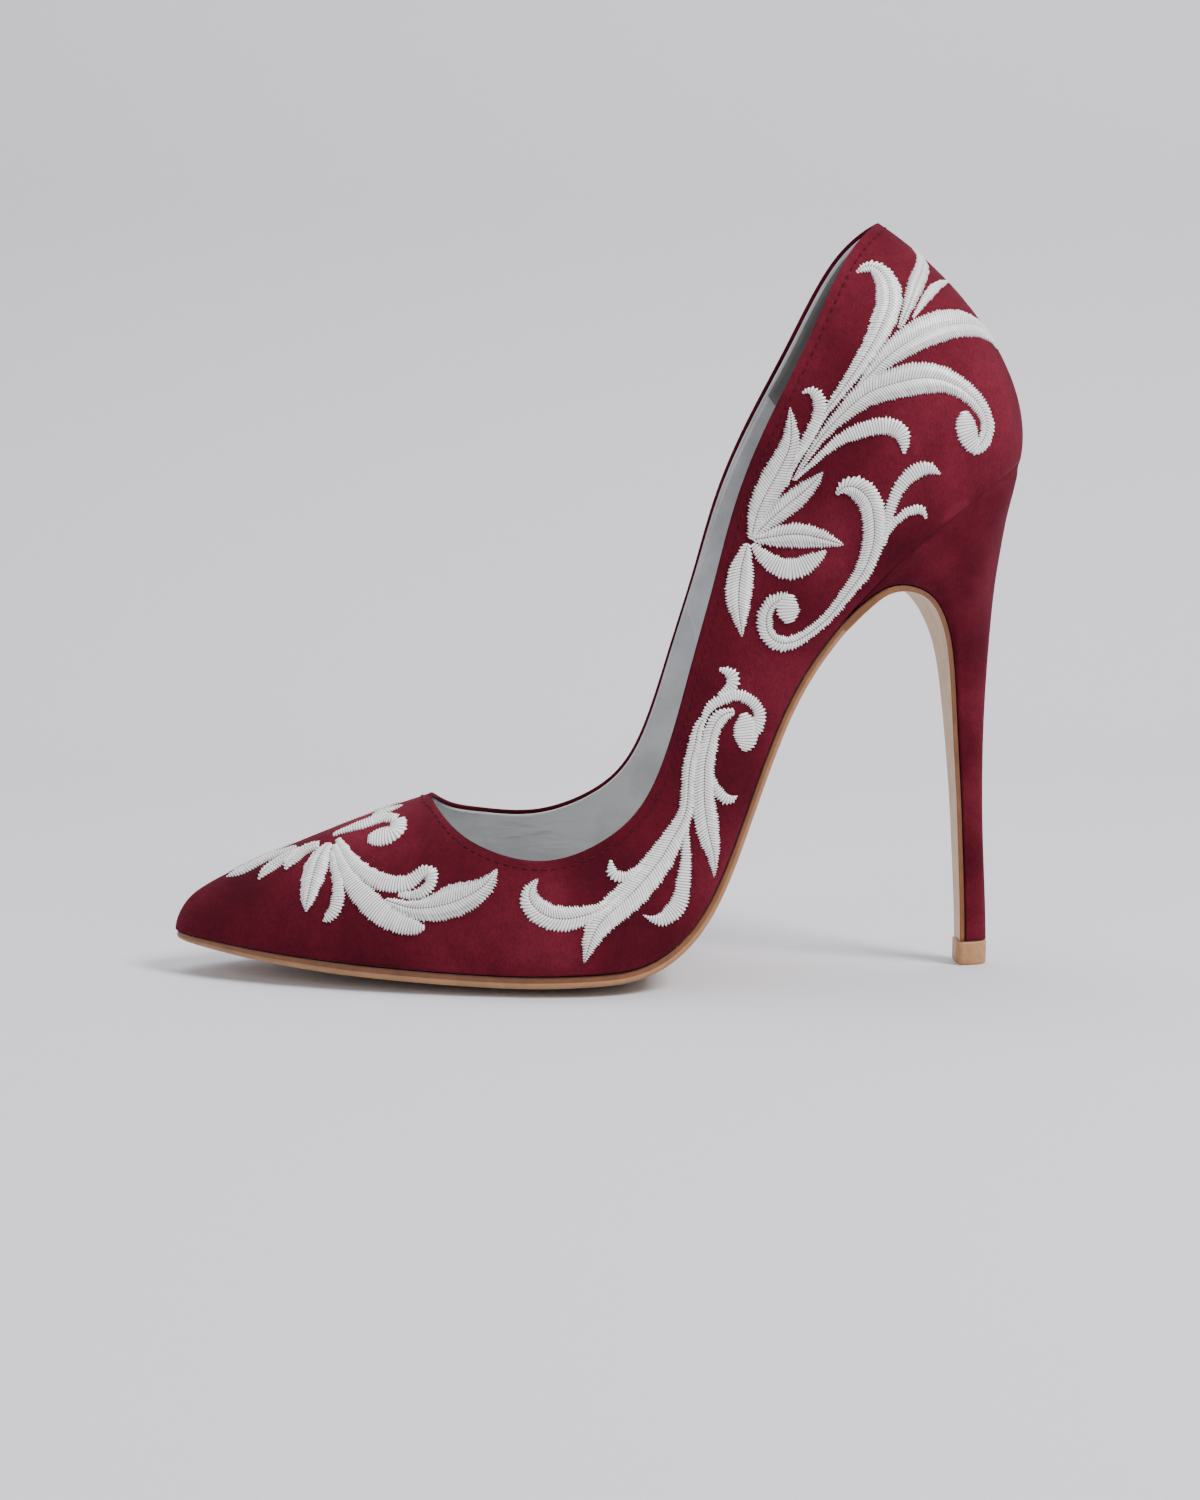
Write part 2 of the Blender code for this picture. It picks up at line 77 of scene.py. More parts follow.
# %% Tables of the last
# along, spring, rise, outer, inner, swing
FEATHER = (
    (0.000, 1.00, 0.000, 0.000, 0.000, 1.00),
    (0.019, 0.95, 0.000, 0.170, 0.170, 0.93),
    (0.057, 0.84, 0.000, 0.325, 0.325, 0.82),
    (0.118, 0.63, 0.000, 0.510, 0.510, 0.66),
    (0.196, 0.40, 0.000, 0.692, 0.692, 0.52),
    (0.272, 0.22, 0.000, 0.832, 0.832, 0.40),
    (0.346, 0.08, 0.000, 0.932, 0.932, 0.26),
    (0.415, 0.00, 0.000, 0.990, 0.990, 0.10),
    (0.483, 0.00, 0.002, 1.000, 0.965, 0.00),
    (0.550, 0.00, 0.020, 0.915, 0.830, 0.00),
    (0.611, 0.00, 0.107, 0.780, 0.680, 0.00),
    (0.659, 0.00, 0.281, 0.690, 0.590, 0.00),
    (0.711, 0.00, 0.502, 0.635, 0.560, 0.00),
    (0.771, 0.00, 0.654, 0.630, 0.585, 0.00),
    (0.839, 0.00, 0.773, 0.655, 0.630, 0.00),
    (0.916, 0.00, 0.877, 0.610, 0.600, 0.00),
    (0.974, 0.00, 0.947, 0.410, 0.405, 0.00),
    (1.000, 0.00, 0.975, 0.000, 0.000, 0.00),
)
# along, height, swing
RIDGE = (
    (0.031, 0.425, 1.00),
    (0.048, 0.478, 0.95),
    (0.085, 0.568, 0.84),
    (0.145, 0.698, 0.68),
    (0.222, 0.850, 0.50),
    (0.304, 0.992, 0.30),
)
# along, vamp, inner_vamp, back, outer, inner
COLLAR = (
    (0.304, 0.992, 0.992, 0.000, 0.000, 0.000),
    (0.325, 0.872, 0.900, 0.000, 0.490, 0.490),
    (0.370, 0.752, 0.825, 0.000, 0.830, 0.820),
    (0.436, 0.708, 0.800, 0.000, 0.980, 0.950),
    (0.505, 0.735, 0.810, 0.025, 1.000, 0.960),
    (0.558, 0.640, 0.690, 0.120, 0.945, 0.920),
    (0.597, 0.320, 0.335, 0.333, 0.870, 0.860),
    (0.626, 0.060, 0.060, 0.510, 0.790, 0.790),
    (0.652, 0.000, 0.000, 0.632, 0.740, 0.730),
    (0.689, 0.000, 0.000, 0.736, 0.690, 0.670),
    (0.735, 0.000, 0.000, 0.842, 0.610, 0.570),
    (0.788, 0.000, 0.000, 0.958, 0.380, 0.340),
    (0.828, 0.000, 0.000, 1.000, 0.000, 0.000),
)
# start, belly_low, end, belly_high, crown
FORM = (
    (0.22, 0.13, 0.34, 0.180, 0.00),
    (0.24, 0.15, 0.12, 0.070, 0.42),
    (0.24, 0.18, 0.02, 0.010, 0.58),
    (0.24, 0.20, 0.00, 0.000, 0.60),
    (0.25, 0.21, 0.00, 0.000, 0.57),
    (0.27, 0.20, 0.01, 0.002, 0.50),
    (0.29, 0.20, 0.07, 0.012, 0.36),
    (0.31, 0.20, 0.16, 0.030, 0.26),
    (0.32, 0.19, 0.25, 0.045, 0.14),
    (0.32, 0.17, 0.31, 0.050, 0.00),
    (0.32, 0.15, 0.33, 0.040, 0.00),
    (0.32, 0.12, 0.33, 0.030, 0.00),
    (0.32, 0.10, 0.33, 0.020, 0.00),
    (0.31, 0.11, 0.33, 0.030, 0.00),
    (0.30, 0.14, 0.34, 0.060, 0.00),
    (0.28, 0.16, 0.35, 0.100, 0.00),
    (0.22, 0.175, 0.37, 0.150, 0.00),
    (0.19, 0.18, 0.39, 0.182, 0.00),
)
THROAT = len(RIDGE) - 1
LAST_ROW = len(FEATHER) - 1
print("rows of the last", LAST_ROW + 1, "throat at row", THROAT)

# %% [markdown]
# ## Curves through the tables
# Between its rows a table is read along a smooth cubic curve. The feather line and the collar
# line are closed curves through both sides of the shoe, so toe and heel come out round with no
# kink where the sides meet. Numpy solves the small set of equations that makes them smooth.

# %% A smooth curve
def spline_slopes(points, closed):
    """Slopes of the smoothest cubic curve through evenly counted points."""
    one = np.eye(len(points))
    matrix = 4.0 * one + np.roll(one, 1, axis=1) + np.roll(one, -1, axis=1)
    right = 3.0 * (np.roll(points, -1, axis=0) - np.roll(points, 1, axis=0))
    if not closed:
        matrix[0, 0] = matrix[-1, -1] = 2.0
        matrix[0, -1] = matrix[-1, 0] = 0.0
        right[0], right[-1] = 3.0 * (points[1] - points[0]), 3.0 * (points[-1] - points[-2])
    return np.linalg.solve(matrix, right)


class Curve:
    """A smooth curve through rows of numbers, read at any place between them."""

    def __init__(self, points, closed):
        self.points = np.array(points, float)
        self.closed = closed
        self.slopes = spline_slopes(self.points, closed)

    def at(self, place):
        count = len(self.points)
        if self.closed:
            place = place % count
            low = int(place) % count
            high = (low + 1) % count
            t = place - int(place)
        else:
            low = min(max(int(place), 0), count - 2)
            high = low + 1
            t = place - low
        p, q = self.points[low], self.points[high]
        a, b = self.slopes[low], self.slopes[high]
        return (p * (2 * t**3 - 3 * t**2 + 1) + a * (t**3 - 2 * t**2 + t)
                + q * (3 * t**2 - 2 * t**3) + b * (t**3 - t**2))


print("halfway from 0 to 1 a curve reads", Curve([[0.0], [1.0]], False).at(0.5)[0])

# %% The last's lines
def place_x(share):
    return BACK_REACH - SHOE_LENGTH + share * SHOE_LENGTH


def feather_row(row, side):
    along, spring, rise, outer, inner, swing = row
    width = outer if side == OUTER else inner
    middle = BALL_BED + spring * TOE_SPRING + rise * HEEL_HEIGHT
    return (place_x(along), side * width * BALL_WIDTH / 2 + swing * TOE_SWING, middle)


def collar_row(row, side):
    along, vamp, inner_vamp, back, outer, inner = row
    lift = vamp if side == OUTER else inner_vamp
    width = outer if side == OUTER else inner
    swing = RIDGE[-1][2] * TOE_SWING * max(0.0, 1.0 - width) * (vamp > 0.5)
    height = BALL_BED + lift * VAMP_HEIGHT + back * (HEEL_HEIGHT + BACK_HEIGHT - BALL_BED)
    return (place_x(along), side * width * COLLAR_WIDTH / 2 + swing, height)


def both_sides(rows, point):
    """Points of a closed line: the outer side row by row, then the inner side back again."""
    outer = [point(row, OUTER) for row in rows]
    inner = [point(row, INNER) for row in rows[1:-1]]
    return outer + inner[::-1]


FEATHER_LINE = Curve(both_sides(FEATHER, feather_row), True)
COLLAR_LINE = Curve(both_sides(COLLAR, collar_row), True)
FORM_LINE = Curve(both_sides(FORM, lambda row, side: row), True)
RIDGE_LINE = Curve([(place_x(a), s * TOE_SWING, BALL_BED + h * VAMP_HEIGHT) for a, h, s in RIDGE],
                   False)


def loop_place(curve, row, side):
    return row if side == OUTER else len(curve.points) - row


print("points of the collar line", len(COLLAR_LINE.points))

# %% Bed and sections
BED_STEPS = 800
BED_SAMPLES = [FEATHER_LINE.at(LAST_ROW * k / BED_STEPS) for k in range(BED_STEPS + 1)]
BED_X = [sample[0] for sample in BED_SAMPLES]
BED_Z = [sample[2] for sample in BED_SAMPLES]
SLOPE_STEP = 0.8          # millimetres to each side, for the bed's slope
RUN_STEP = 0.02           # rows to each side, for a line's direction


def bed_point(x, y, lift):
    """A point of the bed under the foot, moved off it by lift along its slope."""
    height = np.interp(x, BED_X, BED_Z)
    low, high = max(x - SLOPE_STEP, BED_X[0]), min(x + SLOPE_STEP, BED_X[-1])
    slope = (np.interp(high, BED_X, BED_Z) - np.interp(low, BED_X, BED_Z)) / (high - low)
    size = sqrt(1.0 + slope * slope)
    return np.array([x - lift * slope / size, y, height + y * y / (2 * BED_RADIUS) + lift / size])


def direction(curve, place, step=RUN_STEP):
    return curve.at(place + step) - curve.at(place - step)


def unit(vectors):
    """One vector or a list of them, with length one."""
    return vectors / np.linalg.norm(vectors, axis=-1, keepdims=True)


def feather_edge(side, row, inset):
    """The feather line in plan, drawn in by inset."""
    place = loop_place(FEATHER_LINE, row, side)
    x, y, _ = FEATHER_LINE.at(place)
    run = direction(FEATHER_LINE, place)
    size = sqrt(run[0] ** 2 + run[1] ** 2)
    return x - inset * run[1] / size, y + inset * run[0] / size


def section(side, row, shares):
    """Points of the upper's outer face at shares of the way from the feather to the top."""
    place = loop_place(FEATHER_LINE, row, side)
    x, y, _ = FEATHER_LINE.at(place)
    foot = bed_point(x, y, 0.0)
    if row <= THROAT:
        top = RIDGE_LINE.at(row)
    else:
        top = COLLAR_LINE.at(loop_place(COLLAR_LINE, row - THROAT, side))
    start, belly_low, end, belly_high, crown = FORM_LINE.at(row)
    rise = top - foot
    chord = np.linalg.norm(rise)
    out = unit(np.cross(direction(FEATHER_LINE, place), rise))
    low = foot + start * rise + belly_low * chord * out
    reach = crown * abs(foot[1] - top[1]) * side
    high = top - end * rise + belly_high * chord * out + np.array([0.0, reach, 0.0])
    t = np.array(shares)[:, None]
    s = 1.0 - t
    return foot * s**3 + low * 3 * s * s * t + high * 3 * s * t * t + top * t**3


print("feather line ends at", FEATHER_LINE.at(LAST_ROW).round(1))

# %% [markdown]
# ## The view
# The camera stands at the height of the shoe's quarter and looks a little down on it, at the
# picture's angle and with its long lens. It comes early, because the embroidery is charted in
# points of the picture: a ray from the camera through such a point finds its place on the suede.

# %% Camera
CAMERA_PLACE = (-0.1325, -0.6373, 0.1309)
CAMERA_DOWN = 7.08        # degrees below level
CAMERA_TURN = -4.0
FOCAL_PIXELS = 2762.0     # the picture is 1200 by 1500 pixels
PICTURE_HEIGHT = 1500.0
SENSOR = 36.0
camera_data = bpy.data.cameras.new("camera")
camera_data.sensor_width = SENSOR
camera_data.lens = FOCAL_PIXELS / PICTURE_HEIGHT * SENSOR
camera = bpy.data.objects.new("camera", camera_data)
camera.location = CAMERA_PLACE
camera.rotation_euler = (radians(90.0 - CAMERA_DOWN), 0.0, radians(CAMERA_TURN))
bpy.context.scene.collection.objects.link(camera)
bpy.context.scene.camera = camera
print("lens of", round(camera_data.lens, 1), "millimetres")

# %% [markdown]
# ## Meshes from stations
# Each piece of the shoe is a run of stations, like the ribs of a boat, with skin between them.
# Subdivision would round the feather line away, so the stations are simply close together. The
# points are kept in millimetres, as on a pattern, and turned into metres when the object is made.

# %% Helpers for meshes
ROOT = "root"
WELD = 0.002              # millimetres: points closer than this become one


def spaced(rows, steps):
    """Places along the rows of a table, with some steps to each row."""
    return np.linspace(0.0, rows, rows * steps + 1)


def strip(low, high, closed=False):
    """Quads between two equally long rows of point numbers."""
    pairs = list(zip(low, high))
    following = pairs[1:] + (pairs[:1] if closed else [])
    return [(a, b, d, c) for (a, b), (c, d) in zip(pairs, following)]


def vertex_normals(points, quads):
    """Smooth normals at the points of a mesh of quads."""
    corners = np.array(quads).T
    a, b, c, d = points[corners]
    normals = np.zeros_like(points)
    for corner in corners:
        np.add.at(normals, corner, np.cross(c - a, d - b))
    size = np.linalg.norm(normals, axis=1)
    return normals / np.maximum(size, 1e-9)[:, None]


def add_piece(name, points, faces, materials, face_slots=None, slot=None, stands_for=None,
              vertex_places=None):
    """A smooth object in metres from points in millimetres."""
    mesh = bpy.data.meshes.new(name)
    mesh.from_pydata([tuple(point * MM) for point in points], [],
                     [tuple(int(corner) for corner in face) for face in faces])
    for material in materials:
        mesh.materials.append(material)
    if face_slots is not None:
        mesh.polygons.foreach_set("material_index", face_slots)
    if vertex_places is not None:
        layer = mesh.uv_layers.new(name="threads")
        for corner, loop in zip(layer.data, mesh.loops):
            corner.uv = vertex_places[loop.vertex_index]
    model = bmesh.new()
    model.from_mesh(mesh)
    bmesh.ops.remove_doubles(model, verts=model.verts, dist=WELD * MM)
    bmesh.ops.dissolve_degenerate(model, edges=model.edges, dist=WELD * MM)
    bmesh.ops.recalc_face_normals(model, faces=model.faces)
    model.to_mesh(mesh)
    model.free()
    mesh.shade_smooth()
    piece = bpy.data.objects.new(name, mesh)
    bpy.context.scene.collection.objects.link(piece)
    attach(piece, ROOT)
    if stands_for:
        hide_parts(stands_for)
    print(name, len(mesh.polygons), "faces")
    return piece


def closed_loops(loops, flat_ends=False):
    """Points and faces of a run of closed loops, its ends filled by pairs or by one flat face."""
    size = len(loops[0])
    numbers = np.arange(len(loops) * size).reshape(-1, size).tolist()
    faces = [(a, d, c, b) for low, high in zip(numbers, numbers[1:])
             for a, b, c, d in strip(low, high, closed=True)]
    for end in (numbers[0], numbers[-1]):
        if flat_ends:
            faces.append(tuple(end))
        else:
            faces += [(end[k], end[k + 1], end[-2 - k], end[-1 - k]) for k in range(size // 2 - 1)]
    return np.array([point for loop in loops for point in loop]), faces

# %% [markdown]
# ## Finishes
# Suede is leather with its fibres brushed up. It has almost no gloss, but the fibres catch light
# at grazing angles, which is what sheen does in Blender's main shader. Strokes of the nap lie
# in different directions, so the colour is mottled in soft patches with fine speckle on top.
# All patterns use the object's own coordinates, so they stay on the leather from every side.
# Painted light and shade from the shoe's form lie over these, stored at the mesh's points further
# down.

# %% Material helpers
def adjust(node, settings):
    """Set inputs of a node by their names."""
    for name, value in settings.items():
        node.inputs[name].default_value = value


def feed(tree, socket, value):
    """Give a socket a number or a colour, or link another node's output to it."""
    if isinstance(value, (float, int)):
        socket.default_value = value
    elif isinstance(value, tuple):
        socket.default_value = (*value, 1.0)
    else:
        tree.links.new(value, socket)


def new_material(name, roughness, colour):
    material = bpy.data.materials.new(name)
    material.use_nodes = True
    material.diffuse_color = (*colour, 1.0)
    tree = material.node_tree
    shader = tree.nodes["Principled BSDF"]
    adjust(shader, {"Base Color": (*colour, 1.0), "Roughness": roughness})
    coordinates = tree.nodes.new("ShaderNodeTexCoord")
    return material, tree, shader, coordinates.outputs["Object"]


def noise(tree, vector, size, detail, roughness=0.55, stretch=(1.0, 1.0, 1.0)):
    """Noise whose lumps are about size millimetres across."""
    mapping = tree.nodes.new("ShaderNodeMapping")
    adjust(mapping, {"Scale": [share / (size * MM) for share in stretch]})
    tree.links.new(vector, mapping.inputs["Vector"])
    node = tree.nodes.new("ShaderNodeTexNoise")
    adjust(node, {"Scale": 1.0, "Detail": detail, "Roughness": roughness})
    tree.links.new(mapping.outputs["Vector"], node.inputs["Vector"])
    return node.outputs["Fac"]


def ramp(tree, factor, stops):
    """Colours along a factor: a list of (place, colour)."""
    node = tree.nodes.new("ShaderNodeValToRGB")
    elements = node.color_ramp.elements
    while len(elements) < len(stops):
        elements.new(0.5)
    for element, (place, colour) in zip(elements, stops):
        element.position = place
        element.color = (*colour, 1.0)
    tree.links.new(factor, node.inputs["Fac"])
    return node.outputs["Color"]


def mix(tree, factor, first, second, blend="MIX"):
    node = tree.nodes.new("ShaderNodeMix")
    node.data_type = "RGBA"
    node.blend_type = blend
    node.clamp_factor = True
    for name, value in (("Factor_Float", factor), ("A_Color", first), ("B_Color", second)):
        feed(tree, next(item for item in node.inputs if item.identifier == name), value)
    return next(item for item in node.outputs if item.identifier == "Result_Color")


def math_node(tree, operation, first, second=0.0):
    node = tree.nodes.new("ShaderNodeMath")
    node.operation = operation
    for socket, value in zip(node.inputs, (first, second)):
        feed(tree, socket, value)
    return node.outputs["Value"]


def shifted(tree, tone, by, share):
    """A tone moved by a share of another value."""
    return math_node(tree, "ADD", tone, math_node(tree, "MULTIPLY", by, share))


def stored_strokes(tree):
    """The painted light and shade, and the rub and creases, that are stored at the points of a
    piece, further down.
    """
    node = tree.nodes.new("ShaderNodeAttribute")
    node.attribute_name = "painted_light_and_marks"
    return node.outputs["Fac"]


def bump(tree, shader, heights):
    """Bumps in a chain: a list of (height, depth in millimetres)."""
    last = None
    for height, depth in heights:
        node = tree.nodes.new("ShaderNodeBump")
        adjust(node, {"Strength": 1.0, "Distance": depth * MM})
        tree.links.new(height, node.inputs["Height"])
        if last:
            tree.links.new(last, node.inputs["Normal"])
        last = node.outputs["Normal"]
    tree.links.new(last, shader.inputs["Normal"])

# %% Suede
SUEDE_DARK = (0.052, 0.0026, 0.0080)
SUEDE_MIDDLE = (0.084, 0.0045, 0.0125)
SUEDE_LIGHT = (0.140, 0.0115, 0.0245)
PAINTED_LIGHT_AND_RUB_SHARE = 0.17          # how far a full stroke moves the colour along its ramp: painted light and shade, and one rub


def suede(name, patch_size):
    material, tree, shader, place = new_material(name, 0.92, SUEDE_MIDDLE)
    # painted light and shade, and one rub of wear, stored at the points move the colour along the
    # ramp
    tone = shifted(tree, noise(tree, place, patch_size, 2.0, 0.45), stored_strokes(tree), PAINTED_LIGHT_AND_RUB_SHARE)
    base = ramp(tree, tone, [(0.28, SUEDE_DARK), (0.50, SUEDE_MIDDLE), (0.76, SUEDE_LIGHT)])
    fibres = noise(tree, place, 0.45, 4.0, 0.7, (1.0, 1.0, 0.55))
    tufts = noise(tree, place, 2.6, 3.0, 0.6)
    speckle = ramp(tree, fibres, [(0.32, (0.76, 0.74, 0.76)), (0.70, (1.20, 1.22, 1.20))])
    mottle = ramp(tree, tufts, [(0.34, (0.90, 0.89, 0.90)), (0.68, (1.09, 1.10, 1.09))])
    coloured = mix(tree, 1.0, base, speckle, "MULTIPLY")
    tree.links.new(mix(tree, 1.0, coloured, mottle, "MULTIPLY"), shader.inputs["Base Color"])
    adjust(shader, {"Specular IOR Level": 0.10, "Sheen Weight": 0.11, "Sheen Roughness": 0.35,
                    "Sheen Tint": (0.85, 0.20, 0.33, 1.0)})
    bump(tree, shader, [(fibres, 0.13), (tufts, 0.08)])
    return material


upper_suede = suede("burgundy_suede", 26.0)
heel_suede = suede("burgundy_heel_suede", 18.0)
print("suedes", upper_suede.name, heel_suede.name)

# %% [markdown]
# The lining is thin silver-grey kid leather. It is smoother than suede, with a soft gloss and a
# fine pebbled grain, and it has small wrinkles where the foot bends the shoe. The sole is
# vegetable-tanned leather: its cut edge is stained and burnished, its underside is left pale.

# %% Smooth leathers
CREASE_DEPTH = 1.1        # millimetres, where a stroke is full
PAINTED_CREASE_SHINE = 0.30       # how far a full stroke moves the colour along its ramp, as a painted shine
LINING_LIGHT = (0.68, 0.69, 0.695)


def smooth_leather(name, dark, light, roughness, patch_size, grain, grain_depth, wrinkle=0.0):
    """Leather with a grain; sizes and depths in millimetres."""
    material, tree, shader, place = new_material(name, roughness, light)
    tone = noise(tree, place, patch_size, 4.0, 0.6)
    heights = [(noise(tree, place, grain, 2.0), grain_depth),
               (noise(tree, place, grain * 9, 2.0), grain_depth * 3)]
    if wrinkle:
        creases_and_shine = stored_strokes(tree)
        # the strokes paint a shine into the colour and crease the surface with bumps
        tone = shifted(tree, tone, creases_and_shine, PAINTED_CREASE_SHINE)
        lines = noise(tree, place, 3.4, 2.0, 0.55, (0.30, 1.0, 1.0))
        heights.append((math_node(tree, "MULTIPLY", lines, creases_and_shine), CREASE_DEPTH))
        heights.append((noise(tree, place, 7.0, 2.0, 0.5, (0.45, 1.0, 0.30)), wrinkle))
    tree.links.new(ramp(tree, tone, [(0.28, dark), (0.68, light)]), shader.inputs["Base Color"])
    bump(tree, shader, heights)
    return material


# name, dark and light colour, roughness, size of patches, grain, its depth
lining_leather, grip_leather, stitch_thread, sock_leather = (smooth_leather(*finish) for finish in (
    ("grey_lining_leather", (0.44, 0.45, 0.455), LINING_LIGHT, 0.27, 14.0, 0.7, 0.04, 0.9),
    ("dark_grip_leather", (0.125, 0.125, 0.12), (0.165, 0.165, 0.16), 0.9, 12.0, 0.5, 0.08),
    ("burgundy_thread", (0.040, 0.003, 0.008), (0.085, 0.007, 0.016), 0.8, 2.0, 0.25, 0.05),
    ("grey_sock_leather", (0.54, 0.55, 0.555), LINING_LIGHT, 0.40, 24.0, 0.7, 0.05),
))
sole_leathers = [smooth_leather(*finish) for finish in (
    ("sole_edge_dark", (0.080, 0.028, 0.014), (0.15, 0.055, 0.025), 0.42, 2.5, 0.3, 0.03),
    ("sole_edge_stained", (0.145, 0.047, 0.013), (0.23, 0.078, 0.021), 0.50, 4.0, 0.3, 0.03),
    ("sole_edge_tan", (0.29, 0.140, 0.060), (0.38, 0.195, 0.090), 0.50, 4.0, 0.3, 0.04),
    ("sole_underside", (0.50, 0.34, 0.20), (0.60, 0.44, 0.29), 0.55, 5.0, 0.5, 0.05),
)]
lift_rubber = smooth_leather("tan_lift_rubber", (0.36, 0.17, 0.07), (0.46, 0.235, 0.105), 0.5, 1.6,
                             0.25, 0.04)
adjust(stitch_thread.node_tree.nodes["Principled BSDF"], {"Specular IOR Level": 0.1})
print("leathers of the sole", [leather.name for leather in sole_leathers])

# %% [markdown]
# Embroidery silk is a bundle of very fine shining fibres. It reflects light in a streak across
# the thread, so it is glossier than cotton. The fibres are too fine to model, and a stretched
# noise along each stitch stands for them.

# %% Silk
# The shade colour is painted shade in the gaps between threads and along the vein, tinged red where
# the suede shows between stitches.
SILK_SHADE = (0.13, 0.075, 0.075)
SILK_MIDDLE = (0.90, 0.89, 0.875)
SILK_LIGHT = (1.0, 0.99, 0.98)
DOT_SHARE = 0.50          # how much narrower the vein's shade is at a thread than between two
VEIN_REACH = 0.28         # millimetres to each side of the vein that lie in its shade
BLACK, WHITE = (0.0, 0.0, 0.0), (1.0, 1.0, 1.0)


def embroidery_silk():
    """The first thread coordinate counts threads, the second is millimetres from the vein."""
    material, tree, shader, _ = new_material("white_silk", 0.33, SILK_LIGHT)
    threads = tree.nodes.new("ShaderNodeUVMap")
    threads.uv_map = "threads"
    parts = tree.nodes.new("ShaderNodeSeparateXYZ")
    tree.links.new(threads.outputs["UV"], parts.inputs["Vector"])
    across, along = parts.outputs["X"], parts.outputs["Y"]
    between = ramp(tree, math_node(tree, "FRACT", across),
                   [(0.0, BLACK), (0.31, WHITE), (0.69, WHITE), (1.0, BLACK)])
    from_vein = math_node(tree, "DIVIDE", math_node(tree, "ABSOLUTE", along), VEIN_REACH)
    in_dots = shifted(tree, from_vein, between, DOT_SHARE)
    beside_vein = ramp(tree, in_dots, [(0.4, BLACK), (1.0, WHITE)])
    uneven = tree.nodes.new("ShaderNodeTexWhiteNoise")
    uneven.noise_dimensions = "1D"
    tree.links.new(math_node(tree, "FLOOR", across), uneven.inputs["W"])
    closed_up = ramp(tree, uneven.outputs["Value"], [(0.70, BLACK), (1.0, (0.5, 0.5, 0.5))])
    groove = mix(tree, closed_up, between, WHITE)
    light = mix(tree, 1.0, groove, beside_vein, "MULTIPLY")
    fibres = noise(tree, threads.outputs["UV"], 1000.0, 2.0, 0.5, (5.0, 0.5, 1.0))
    shine = ramp(tree, fibres, [(0.35, SILK_MIDDLE), (0.60, SILK_LIGHT)])
    tree.links.new(mix(tree, light, SILK_SHADE, shine), shader.inputs["Base Color"])
    adjust(shader, {"Specular IOR Level": 0.75, "Sheen Weight": 0.2, "Sheen Roughness": 0.3})
    bump(tree, shader, [(fibres, 0.06)])
    return material


silk = embroidery_silk()
print("finishes", len(bpy.data.materials))

# %% [markdown]
# ## The suede upper
# The upper is cut flat, sewn at the back and pulled over the last, so it is one continuous skin.
# It could be one thick shell, but the real one is suede outside and lining inside, with the suede
# turned over at the collar. So the suede and its lining are two thin shells, one inside the
# other, and the suede's top edge is round.

# %% Skin of the last
SKIN_STEPS, SKIN_COLUMNS = 11, 48
THROAT_REACH = 16.0       # the ribs crowd together this close to the throat
CALM_SPREAD = 3.0         # millimetres that a normal is averaged over there
CALM_SLOPE = 1.5          # how soon, coming closer, the mean takes the normal's place
SAME_ROW = 1e-6

Skin = namedtuple("Skin", "points quads feather collar below grid")


def make_skin(rows, columns):
    """Outer face of the upper, with its point numbers by station, at the feather and the collar."""
    stations = [(OUTER, row) for row in rows] + [(INNER, row) for row in rows[-2:0:-1]]
    points, grid, edge = [], [], []
    for number, (side, row) in enumerate(stations):
        line = section(side, row, np.linspace(0.0, 1.0, columns + 1))
        on_ridge = side == INNER and row <= THROAT + SAME_ROW
        start = len(points)
        points.extend(line[:-1] if on_ridge else line)
        ids = list(range(start, len(points)))
        if on_ridge:
            ids.append(grid[2 * (len(rows) - 1) - number][-1])
        elif row >= THROAT - SAME_ROW:
            edge.append(ids)
        grid.append(ids)
    quads = [quad for first, second in zip(grid, grid[1:] + grid[:1])
             for quad in strip(first, second)]
    return Skin(np.array(points), quads, [ids[0] for ids in grid], [ids[-1] for ids in edge],
                [ids[-2] for ids in edge], grid)


def calm_normals(points, quads):
    """Normals of the skin. Where the ribs crowd together, each becomes the mean of many."""
    normals = vertex_normals(points, quads)
    gaps = np.linalg.norm(points - RIDGE_LINE.at(THROAT), axis=1)
    near = np.flatnonzero(gaps < THROAT_REACH + CALM_SPREAD)
    result = normals.copy()
    for i in near:
        weights = np.exp(-(np.linalg.norm(points[near] - points[i], axis=1) / CALM_SPREAD * 2) ** 2)
        mean = unit((normals[near] * weights[:, None]).sum(axis=0))
        share = min(1.0, max(0.0, CALM_SLOPE * (1.0 - gaps[i] / THROAT_REACH)))
        result[i] = unit(normals[i] * (1 - share) + mean * share)
    return result


def edge_frame(skin, normals):
    """Points of the skin's edge at the collar, and directions away from it along the skin."""
    edge = skin.points[skin.collar]
    run = np.roll(edge, -1, axis=0) - np.roll(edge, 1, axis=0)
    down = unit(np.cross(normals[skin.collar], run))
    return edge, down * np.sign(np.sum(down * (skin.points[skin.below] - edge)))


suede_skin = make_skin(spaced(LAST_ROW, SKIN_STEPS), SKIN_COLUMNS)
suede_normals = calm_normals(suede_skin.points, suede_skin.quads)
print("points of the skin", len(suede_skin.points))

# %% Suede upper
UPPER_WALL = 1.6          # suede and lining together
SUEDE_THICKNESS = 0.85


